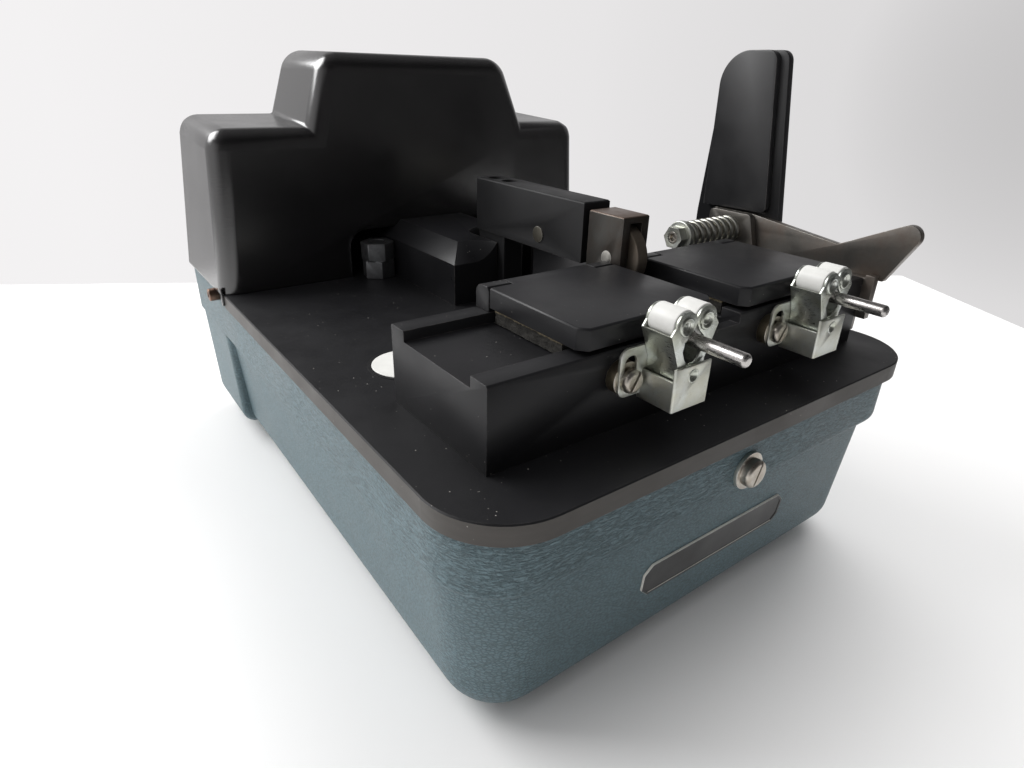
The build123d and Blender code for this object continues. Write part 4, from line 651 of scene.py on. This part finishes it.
def material(name):
    """The finish of that name, made the first time it is asked for."""
    if name not in MATERIALS:
        colours = bpy.context.scene.splicer_finishes
        black = tuple(colours.anodised)
        # The table plate's upright sides get a painted sheen in this paler colour.
        side = tuple(colours.table_side_sheen)
        makers = {
            "pan": lambda: grained_pan(tuple(colours.pan)),
            "cover": lambda: formed_cover(tuple(colours.cover)),
            "table": lambda: anodised("black_table_plate", black, 0.5, 1.2, edge=0.0003, side=side),
            "anodised": lambda: anodised("black_anodised", black, 0.42, 0.9),
            "machined": lambda: anodised("black_machined", black, 0.33, 0.9),
            "arm": lambda: anodised(
                "black_arm", tuple(c * 0.6 for c in black), 0.5, 0.5, worn=(0.05, 0.047, 0.045)
            ),
            "nuts": lambda: plated("dull_nuts", (0.32, 0.33, 0.34), (0.22, 0.22, 0.23), 0.42, spots=0.3),
            "zinc": lambda: plated("zinc_plate", (0.66, 0.68, 0.64), (0.62, 0.62, 0.53), 0.38),
            "jaw": lambda: plated("jaw_plate", (0.6, 0.63, 0.6), (0.5, 0.52, 0.44), 0.26),
            "bright": lambda: plated("bright_steel", (0.6, 0.58, 0.56), (0.46, 0.44, 0.43), 0.22),
            "wire": lambda: plated("spring_wire", (0.62, 0.61, 0.56), (0.5, 0.5, 0.44), 0.28),
            "nickel": lambda: plated("nickel_plate", (0.56, 0.53, 0.48), (0.42, 0.37, 0.31), 0.28),
            "washer": lambda: plated("pale_washer", (0.72, 0.72, 0.66), (0.6, 0.6, 0.56), 0.4),
            "stack": lambda: plated("yellowed_washers", (0.3, 0.26, 0.18), (0.17, 0.14, 0.1), 0.4),
            "copper": lambda: plated("copper_plate", (0.24, 0.15, 0.11), (0.12, 0.08, 0.06), 0.36),
            "dowel": lambda: plated("dowel_end", (0.13, 0.12, 0.1), (0.09, 0.085, 0.07), 0.45),
            "bare": lambda: bare_steel(
                "oiled_bare_steel", (0.075, 0.073, 0.068), (0.07, 0.055, 0.045), top=(0.2, 0.14, 0.11)
            ),
            "blade": lambda: bare_steel("knife_steel", (0.2, 0.19, 0.175), (0.15, 0.12, 0.1), 0.36),
            "wheel": lambda: bare_steel("ground_wheel", (0.22, 0.19, 0.16), (0.16, 0.13, 0.1), 0.42),
            "pin_end": lambda: plated("pin_end", (0.42, 0.41, 0.38), (0.3, 0.29, 0.27), 0.5),
            "nylon": lambda: nylon("white_nylon", (0.62, 0.62, 0.595)),
            "lever": lambda: black_sheet("black_lever", (0.009, 0.009, 0.01), (0.05, 0.05, 0.05)),
            "grip": lambda: black_sheet("black_grip", (0.013, 0.013, 0.014), (0.2, 0.19, 0.18)),
            "pad": lambda: felt("torn_felt", (0.018, 0.017, 0.015), (0.3, 0.25, 0.16), TORN_FROM),
            "rubber": lambda: plain("black_rubber", (0.02, 0.02, 0.02), 0.7),
            "plate": lambda: plain("dark_enamel_plate", (0.045, 0.045, 0.045), 0.4),
            "plate_rim": lambda: plain("bare_plate_rim", (0.86, 0.84, 0.78), 0.35),
            "board": lambda: plain("board_laminate", (0.05, 0.2, 0.09), 0.4),
            "ceramic": lambda: plain("glazed_stack", (0.7, 0.68, 0.62), 0.3),
            "turned": lambda: plated("turned_metal", (0.55, 0.55, 0.56), (0.45, 0.45, 0.45), 0.3),
            "core": lambda: plain("varnished_core", (0.12, 0.1, 0.09), 0.5, 0.6),
            "black_plastic": lambda: plain("black_plastic", (0.015, 0.015, 0.016), 0.4),
            "black_metal": lambda: plain("blackened_screw", (0.02, 0.02, 0.02), 0.45, 0.6),
            "white_plastic": lambda: plain("white_plastic", (0.74, 0.74, 0.71), 0.35),
        }
        MATERIALS[name] = makers[name]()
    return MATERIALS[name]


# --- Operators ------------------------------------------------------------------------------------


class SPLICER_OT_base(bpy.types.Operator):
    """Finish the pan, its feet, screws and blank nameplate"""

    bl_idname = "splicer.base"
    bl_label = "Base pan"

    def execute(self, context):
        dress("base_pan", "pan")
        dress("rubber_feet", "rubber")
        dress("foot_screws", "zinc")
        across, above, head = 103.8, -18.65, 5.0
        second_finish(
            eased("pan_screw", "nickel", 0.25), "washer",
            lambda place: math.hypot(place.x - across, place.z - above) > head,
        )
        self.nameplate()
        eased("side_screws", "copper", 0.2)
        second_finish(eased("power_inlet", "black_plastic", 0.25), "bright", self.on_contact)
        return {"FINISHED"}

    def nameplate(self):
        """The raised rim of the blank nameplate is pale; its sunk field is dark."""
        across, above, half_width, half_height, corner = 102.8, -49.75, 35.05, 5.4, 38.2

        def on_rim(place):
            x, z = abs(place.x - across), abs(place.z - above)
            return x > half_width or z > half_height or x + z > corner

        second_finish(eased("nameplate", "plate", 0.08, 1), "plate_rim", on_rim)

    def on_contact(self, place):
        """True on the inlet's three contacts."""
        return place.y > 269 and abs(place.x - 40) < 8.2 and abs(place.z + 47.4) < 5.2


class SPLICER_OT_table(bpy.types.Operator):
    """Finish the table plate and model what stands on it"""

    bl_idname = "splicer.table"
    bl_label = "Table"

    def execute(self, context):
        dress("table_plate", "table")
        eased("start_button", "white_plastic", 0.5)
        dress("button_bezel", "black_plastic")
        dress("button_switch", "black_plastic")
        eased("stop_stud", "nuts", 1.0, 4)
        finished(self.guide_block(), "machined", "guide_block")
        return {"FINISHED"}

    def guide_block(self):
        """Block with bevels along its front and left edges; the front one runs out in a scoop."""
        # The bevels fall this far over this inset, down to this height
        drop, inset, low = 7.4, 9.3, 18.0
        block = cuboid("guide_block_shaped", at(101.25, 181, 12.7), (42.5, 82, 25.4))
        bpy.ops.mesh.bisect(
            plane_co=at(80, 181, low), plane_no=(-drop, 0, inset), use_fill=True, clear_outer=True
        )
        close_mesh()
        # The scoop's radius and start, and the block's front
        radius, start, front = 15.1, 90.0, 140.0
        sweep = [math.radians(a) for a in range(0, 79, 6)]
        arc = [(start + radius * math.sin(a), radius * (1 - math.cos(a))) for a in sweep]
        scoop = cut_plate("scoop", [(60, 0), *arc, (arc[-1][0], 30), (60, 30)], "Y", -18, 40)
        scoop.rotation_euler.x = math.atan2(drop, inset)
        # It turns about the foot of the bevel
        turn = Matrix.Rotation(scoop.rotation_euler.x, 3, "X")
        scoop.location = at(0, front, low) - turn @ at(0, 0, 0)
        # The slot under the arm: its middle, half its width and where its round end begins
        middle, half, round_from = 111.65, 9.75, 160.25
        sweep = [math.radians(d) for d in range(0, 181, 10)]
        slot_round = [(middle + half * math.cos(a), round_from + half * math.sin(a)) for a in sweep]
        slot = cut_plate("slot", [(middle + half, 130), *slot_round, (middle - half, 130)], "Z", -2, 30)
        carved(block, scoop, slot)
        return ease(block, 0.25)


class SPLICER_OT_cover(bpy.types.Operator):
    """Model the formed rear cover with its rounded edges and its mouth"""

    bl_idname = "splicer.cover"
    bl_label = "Rear cover"

    # Across, above the table: skirt, shoulder and hump of the front end, then what the rear end adds
    SECTION = (
        (-1.0, 0.0, 0, 0), (4.39, 68.5, 0.35, 4.5), (46.5, 68.5, 1.29, 4.5),
        (55.19, 98.8, 0.51, 1.8), (150.01, 98.8, -0.8, 1.8),
        (163.5, 68.5, -2.0, 4.5), (198.81, 68.5, -0.35, 4.5), (204.2, 0.0, 0, 0),
    )
    FRONT, REAR, WALL = 204.0, 280.0, 2.5

    # Radii of its outward and inward edges and of its mouth's rim
    CREST, VALLEY, RIM = 8.0, 1.6, 1.8

    # The mouth: its ends, top, corners and the depth of its lip
    MOUTH_LEFT, MOUTH_RIGHT, MOUTH_TOP, MOUTH_CORNER, LIP = 61.0, 154.5, 21.95, 8.0, 7.0

    def execute(self, context):
        outline = [point[:2] for point in self.SECTION]
        cover = cut_plate("rear_cover_shaped", outline, "Y", self.FRONT, self.REAR)
        for across, above, out, rise in self.SECTION:
            if rise:
                corner = at(across, self.REAR, above)
                pick(cover, lambda place: (place - corner).length < 0.05 * MM)
                bpy.ops.transform.translate(value=(out * MM, 0, rise * MM))
                bpy.ops.object.mode_set(mode="OBJECT")
        editing(cover)
        bpy.ops.object.mode_set(mode="EDIT")
        bpy.ops.mesh.select_all(action="SELECT")
        lean = math.radians(11)
        bpy.ops.mesh.bisect(
            plane_co=at(0, self.REAR, 0), plane_no=(0, math.cos(lean), math.sin(lean)), use_fill=True,
            clear_outer=True,
        )
        close_mesh()
        self.round_edges(cover, self.CREST, 8, self.is_crest)
        self.round_edges(cover, self.VALLEY, 3, self.is_valley)
        self.open_up(cover)
        modified(cover, "SOLIDIFY", thickness=self.WALL * MM, offset=-1, use_even_offset=True)
        bpy.ops.object.shade_smooth_by_angle(angle=math.radians(40))
        finished(joined(cover, *(self.tab(side) for side in (-0.6, 203.8))), "cover", "rear_cover")
        return {"FINISHED"}

    def is_crest(self, ends, turn):
        """True on the outward edges above the table."""
        return max(end.z for end in ends) >= 0.1 and turn > 0.05

    def is_valley(self, ends, turn):
        """True on the edge where a shoulder meets the hump."""
        return turn < -0.05 and (ends[0] - ends[1]).length > 20 and min(end.z for end in ends) > 50

    def is_mouth_rim(self, ends, turn):
        """True on the mouth's outer rim."""
        return all(
            abs(end.y - self.FRONT) < 0.05 and end.z < self.MOUTH_TOP + 0.05
            and self.MOUTH_LEFT - 0.1 < end.x < self.MOUTH_RIGHT + 0.1
            for end in ends
        )

    def round_edges(self, cover, radius, segments, test):
        """Rounds the edges that pass a test of their ends and their turn, which is over 0 outwards."""
        editing(cover, "EDGE")
        mesh = cover.data
        faces = {}
        for face in mesh.polygons:
            for key in face.edge_keys:
                faces.setdefault(key, []).append(face)
        for edge in mesh.edges:
            two = faces.get(edge.key, [])
            if len(two) == 2:
                ends = [mesh.vertices[v].co / MM - CORNER for v in edge.vertices]
                apart = (two[0].center - two[1].center).normalized()
                edge.select = test(ends, (two[0].normal - two[1].normal).dot(apart))
        bpy.ops.object.mode_set(mode="EDIT")
        bpy.ops.mesh.bevel(offset=radius * MM, segments=segments, affect="EDGES", clamp_overlap=True)
        close_mesh()

    def open_up(self, cover):
        """Takes out the mouth, leaving its inward lip, and the open underside."""
        left, right, top, corner = self.MOUTH_LEFT, self.MOUTH_RIGHT, self.MOUTH_TOP, self.MOUTH_CORNER
        sweep = [math.radians(d) for d in range(0, 91, 15)]
        arc = [(corner * math.cos(a), corner * math.sin(a)) for a in sweep]
        outline = [(right, -9), *((right - corner + x, top - corner + z) for x, z in arc)]
        outline += [(left + corner - x, top - corner + z) for x, z in reversed(arc)] + [(left, -9)]
        deep = self.FRONT + self.LIP
        carved(cover, cut_plate("mouth", outline, "Y", self.FRONT - 8, deep))
        editing(cover, "FACE")
        for face in cover.data.polygons:
            place = face.center / MM - CORNER
            back = abs(place.y - deep) < 0.05 and place.z < top and abs(face.normal.y) > 0.9
            face.select = back or place.z < 0.01
        bpy.ops.object.mode_set(mode="EDIT")
        bpy.ops.mesh.delete(type="FACE")
        bpy.ops.object.mode_set(mode="OBJECT")
        self.round_edges(cover, self.RIM, 4, self.is_mouth_rim)

    def tab(self, across):
        """Ear that hangs from the skirt and takes the side screw."""
        tab = cuboid("cover_tab", at(across, 207.7, -1.0), (0.8, 2.0, 8.0))
        bpy.ops.mesh.bevel(offset=0.15 * MM, segments=2, affect="EDGES")
        close_mesh()
        return tab


class SPLICER_OT_clamps(bpy.types.Operator):
    """Finish the film block and its two clamps, and model their torn pads"""

    bl_idname = "splicer.clamps"
    bl_label = "Film block and clamps"

    def execute(self, context):
        edge = context.scene.splicer_sizes.edge
        eased("film_block", "anodised", edge)
        eased("hinge_ears", "anodised", edge)
        dress("hinge_pins", "bright")
        for number, (side, middle) in enumerate(SIDES):
            eased(f"clamp_plate_{side}", "anodised", edge)
            finished(self.pad(middle, number), "pad", f"clamp_pad_{side}")
            eased(f"strike_rod_{side}", "bright", 0.3)
        return {"FINISHED"}

    def pad(self, middle, number):
        """Felt strip under a clamp plate, with rough sides."""
        pad = cuboid("felt_pad", at(middle, 47.4, 24.6), (51.2, 32.6, 4.4))
        bpy.ops.mesh.subdivide(number_cuts=44)
        bpy.ops.object.mode_set(mode="OBJECT")
        for name, scale, depth in (("lumps", 0.004, 0.0009), ("fibres", 0.0012, 0.0005)):
            texture = bpy.data.textures.new(f"{name}_{number}", "CLOUDS")
            texture.noise_scale = scale
            modified(pad, "DISPLACE", texture=texture, strength=depth, mid_level=0.75)
        bpy.ops.object.shade_smooth_by_angle(angle=math.radians(60))
        return pad


class SPLICER_OT_catches(bpy.types.Operator):
    """Finish the two roller catches and model their dished rivets"""

    bl_idname = "splicer.catches"
    bl_label = "Roller catches"

    # Turned pieces as (radius, reach forward): a rivet's rolled ring and a punched dimple
    RIVET = (
        (0, -0.55), (0.6, -0.5), (1.1, -0.3), (1.55, 0.1), (1.85, 0.42), (2.2, 0.56), (2.55, 0.45),
        (2.78, 0.15), (2.8, -0.06), (1.2, -0.06), (1.2, -0.9), (0, -0.9),
    )
    DIMPLE = (
        (0, -0.8), (0.5, -0.74), (1.0, -0.5), (1.4, -0.15), (1.62, 0.05), (1.85, 0.1), (2.05, 0.04),
        (2.1, -0.05), (1.9, -0.2), (1.2, -0.95), (0, -0.95),
    )

    def execute(self, context):
        pivots = copy_of("catch_pivots")
        dimples = []
        for side, middle in SIDES:
            spot = at(middle, CATCH_FRONT, CATCH_PIVOT)
            self.housing(side, spot)
            # The jaws' front ears lie one behind the other
            for jaw, hand, front in (("a", -1, 7.4), ("b", 1, 8.3)):
                rivet = at(middle + hand * ROLLER_APART, front, ROLLER_HEIGHT)
                self.jaw(f"catch_jaw_{side}_{jaw}", rivet)
                eased(f"catch_roller_{side}_{jaw}", "nylon", 0.1)
            head, reach = 3.2 * MM, spot.y + 0.2 * MM
            if pick(pivots, lambda place: (place - spot).length < head and place.y < reach):
                bpy.ops.mesh.delete(type="VERT")
            bpy.ops.object.mode_set(mode="OBJECT")
            dimples.append(turned("dimple", self.DIMPLE, spot, FORWARD, 36, 50))
        finished(joined(pivots, *dimples), "jaw", "catch_pivots")
        dress("catch_springs", "wire")
        screws = eased("catch_screws", "nickel", 0.2)
        second_finish(screws, "stack", lambda place: place.y > 19.15)
        return {"FINISHED"}

    def housing(self, side, spot):
        """Bent sheet, its pivot hole opened to the width of the punched dimple."""
        box = copy_of(f"catch_housing_{side}")
        hole, sheet, wider = 1.4 * MM, 1.1 * MM, 1.55

        def in_hole(place):
            across = math.hypot(place.x - spot.x, place.z - spot.z)
            return across < hole and place.y < spot.y + sheet

        if not pick(box, in_hole):
            raise RuntimeError("the catch housing has no pivot hole")
        bpy.ops.transform.resize(value=(wider, 1, wider), center_override=spot)
        bpy.ops.object.mode_set(mode="OBJECT")
        finished(ease(box, 0.12), "zinc", f"catch_housing_{side}")

    def jaw(self, name, spot):
        """Bent jaw with its rivet closed in a dished ring on the front ear."""
        jaw = copy_of(name)
        front, head = spot.y - 0.02 * MM, 3 * MM
        if not pick(jaw, lambda place: place.y < front and (place - spot).length < head):
            raise RuntimeError(f"{name} has no rivet head")
        bpy.ops.mesh.delete(type="VERT")
        bpy.ops.object.mode_set(mode="OBJECT")
        ease(jaw, 0.14)
        rivet = turned("rivet", self.RIVET, spot, FORWARD, 40, 50)
        finished(joined(jaw, rivet), "jaw", name)


class SPLICER_OT_arm(bpy.types.Operator):
    """Finish the travelling arm, its fork and its weld wheel"""

    bl_idname = "splicer.arm"
    bl_label = "Travelling arm"

    def execute(self, context):
        edge = context.scene.splicer_sizes.edge
        eased("travel_arm", "arm", edge)
        eased("wheel_fork", "bare", edge * 0.7)
        eased("arm_screws", "dowel", 0.2)
        dress("carriage", "arm")
        dress("rack", "bright")
        # The pin's near end is domed
        pin = copy_of("wheel_pin")
        dome = turned(
            "dome", ((0, 0.3), (1.2, 0.26), (1.9, 0.16), (2.3, 0.0), (2.3, -0.2), (0, -0.2)),
            at(101.55, 71.5, 34.05), LEFT, 32,
        )
        finished(joined(pin, dome), "pin_end", "wheel_pin")
        eased("weld_wheel", "wheel", 0.2)
        return {"FINISHED"}


class SPLICER_OT_knife(bpy.types.Operator):
    """Finish the knife, its lever, its pivot and its spring"""

    bl_idname = "splicer.knife"
    bl_label = "Knife"

    def execute(self, context):
        edge = context.scene.splicer_sizes.edge
        eased("fixed_blade", "blade", 0.15)
        dress("blade_screws", "black_metal")
        self.moving_blade()
        eased("knife_lever", "lever", edge)
        eased("knife_grip", "grip", edge)
        eased("pivot_bolt", "nickel", 0.2)
        eased("pivot_nut", "zinc", 0.3)
        dress("knife_spring", "wire")
        return {"FINISHED"}

    def moving_blade(self):
        """Moving blade, its lower edge brought down to close on the clamp's top, seen from the front."""
        blade = copy_of("moving_blade")
        corners, drop = [at(0, 17.1, 27.7), at(0, 62.0, 27.2)], 3.0

        def at_corner(place):
            return any((place - corner).yz.length < 0.1 * MM for corner in corners)

        if pick(blade, at_corner) != 4:
            raise RuntimeError("the moving blade's lower corners were not found")
        bpy.ops.transform.translate(value=(0, 0, -drop * MM))
        bpy.ops.object.mode_set(mode="OBJECT")
        finished(ease(blade, 0.15), "blade", "moving_blade")


class SPLICER_OT_inside(bpy.types.Operator):
    """Finish the drive, the generator and the other pieces inside the pan"""

    bl_idname = "splicer.inside"
    bl_label = "Inside pieces"

    def execute(self, context):
        for name, finish in (
            ("guide_rods", "bright"), ("rod_brackets", "turned"), ("motor_bracket", "zinc"),
            ("drive_motor", "turned"), ("drive_pinion", "bright"), ("horn", "turned"),
            ("transducer", "ceramic"), ("generator_board", "board"), ("transformer", "core"),
        ):
            dress(name, finish)
        return {"FINISHED"}


def sheet_of_light(name, centre, aim, width, height, power):
    """A rectangular lamp at a place, aimed at another."""
    data = bpy.data.lights.new(name, "AREA")
    data.shape = "RECTANGLE"
    data.size, data.size_y, data.energy = width, height, power
    lamp = bpy.data.objects.new(name, data)
    bpy.context.scene.collection.objects.link(lamp)
    lamp.location = centre
    lamp.rotation_mode = "QUATERNION"
    lamp.rotation_quaternion = (Vector(aim) - Vector(centre)).to_track_quat("-Z", "Y")
    return lamp


# The camera that took the photograph, solved from the table's edges
CAMERA_PLACE = Vector((-0.1589, -0.2266, 0.17485))
CAMERA_AIM = Vector((0.53448, 0.72427, -0.43562))
CAMERA_ROLL = math.radians(1.47)


class SPLICER_OT_stage(bpy.types.Operator):
    """Make the white table it stands on, the lights and the camera"""

    bl_idname = "splicer.stage"
    bl_label = "Stage"

    def execute(self, context):
        scene = context.scene
        sizes = scene.splicer_sizes
        self.white_table(context)
        self.room(scene)
        sheet_of_light(
            "window", centre=(-0.7, 0.85, 1.0), aim=(0, 0, 0.08), width=1.0, height=0.7,
            power=sizes.window,
        )
        ceiling = sheet_of_light(
            "ceiling", centre=(0.85, 0.3, 1.2), aim=(0.35, -0.1, 0), width=1.2, height=1.2,
            power=sizes.ceiling,
        )
        ceiling.visible_glossy = False
        camera = bpy.data.cameras.new("Camera")
        camera.lens = sizes.lens
        camera.sensor_width = 36
        camera.clip_start = 0.005
        view = bpy.data.objects.new("Camera", camera)
        scene.collection.objects.link(view)
        scene.camera = view
        turn = CAMERA_AIM.to_track_quat("-Z", "Y").to_matrix().to_4x4()
        roll = Matrix.Rotation(CAMERA_ROLL, 4, "Z")
        view.matrix_world = Matrix.Translation(CAMERA_PLACE) @ turn @ roll
        scene.view_settings.view_transform = "Standard"
        return {"FINISHED"}

    def white_table(self, context):
        """The corner of a larger white table, with an eased edge."""
        corner, run = Vector((0.5434, 0.0549, 0)), Vector((-0.8722, 0.4892, 0))
        back = Vector((-run.y, run.x, 0))
        width, depth, thick, under = 2.6, 2.4, 0.03, 0.0003
        middle = corner + run * width / 2 + back * depth / 2 - Vector((0, 0, thick / 2 + under))
        size = Vector((width, depth, thick)) / MM
        top = cuboid("white_table", middle, size, math.atan2(run.y, run.x))
        bpy.ops.mesh.bevel(offset=0.004, segments=4, affect="EDGES")
        close_mesh()
        finish = Finish("white_table", Roughness=0.45, IOR=1.45)
        where = finish.place()
        tone = finish.noise(where, 6, 3)
        colour = tuple(context.scene.splicer_finishes.floor)
        duller = tuple(c * 0.985 for c in colour)
        finish.feed(Base_Color=finish.mix(tone.between(0.3, 0.7), colour, duller))
        top.data.materials.append(finish.material)
        return top

    def room(self, scene):
        """Pale grey wall for the eye and for gloss, and soft light from the window's side."""
        world = bpy.data.worlds.new("Studio")
        scene.world = world
        world.use_nodes = True
        room = Nodes(world.node_tree)
        background = world.node_tree.nodes["Background"]
        way = room.add("ShaderNodeTexCoord").value("Generated")
        along = room.dot(way, (0.966, 0.259, 0.0))
        grey = [(0.0, 0.9), (0.3, 0.9), (0.68, 0.835), (0.84, 0.8), (0.97, 0.72), (1.0, 0.56)]
        stops = [(place, (tone, tone * 0.985, tone * 0.99)) for place, tone in grey]
        wall = room.add("ShaderNodeValToRGB", {"stops": stops}, {0: along}).value("Color")
        high = room.axes(way)["Z"]
        # How bright it is for matt surfaces, then for shiny ones: dark above and behind the camera
        soft = room.dot(way, (-0.6, 0.75, 0.28)).between(-0.7, 0.9, 0.12, 1.2)
        behind = room.dot(way, (-0.25, 0.968, 0.0)).between(-0.55, 0.1, 0.12, 1.0)
        shine = high.between(0.42, 0.68, 0.8, 0.13) * behind
        path = room.add("ShaderNodeLightPath")
        for_eye, for_gloss = path.value("Is Camera Ray"), path.value("Is Glossy Ray")
        through = path.value("Is Transmission Ray")
        plainly = (for_eye + through).math("MINIMUM", 1.0)
        strength = soft * (1.0 - for_gloss) + shine * for_gloss
        strength = strength * (1.0 - plainly) + plainly
        world.node_tree.links.new(wall.socket, background.inputs["Color"])
        world.node_tree.links.new(strength.socket, background.inputs["Strength"])


class SPLICER_PT_panel(bpy.types.Panel):
    """Lists the pieces of the splicer"""

    bl_idname = "SPLICER_PT_panel"
    bl_label = "Film splicer"
    bl_space_type = "VIEW_3D"
    bl_region_type = "UI"
    bl_category = "Splicer"

    def draw(self, context):
        layout = self.layout
        for group in (context.scene.splicer_finishes, context.scene.splicer_sizes):
            for name in group.bl_rna.properties.keys():
                if name not in ("rna_type", "name"):
                    layout.prop(group, name)
        for operator in OPERATORS:
            layout.operator(operator.bl_idname)


OPERATORS = (
    SPLICER_OT_base,
    SPLICER_OT_table,
    SPLICER_OT_cover,
    SPLICER_OT_clamps,
    SPLICER_OT_catches,
    SPLICER_OT_arm,
    SPLICER_OT_knife,
    SPLICER_OT_inside,
    SPLICER_OT_stage,
)
CLASSES = (SplicerFinishes, SplicerSizes, *OPERATORS, SPLICER_PT_panel)


def register():
    for kind in CLASSES:
        bpy.utils.register_class(kind)
    bpy.types.Scene.splicer_finishes = PointerProperty(type=SplicerFinishes)
    bpy.types.Scene.splicer_sizes = PointerProperty(type=SplicerSizes)


def unregister():
    del bpy.types.Scene.splicer_sizes
    del bpy.types.Scene.splicer_finishes
    for kind in reversed(CLASSES):
        bpy.utils.unregister_class(kind)


def main():
    register()
    for operator in OPERATORS:
        group, name = operator.bl_idname.split(".")
        getattr(getattr(bpy.ops, group), name)()


if __name__ == "__main__":
    main()
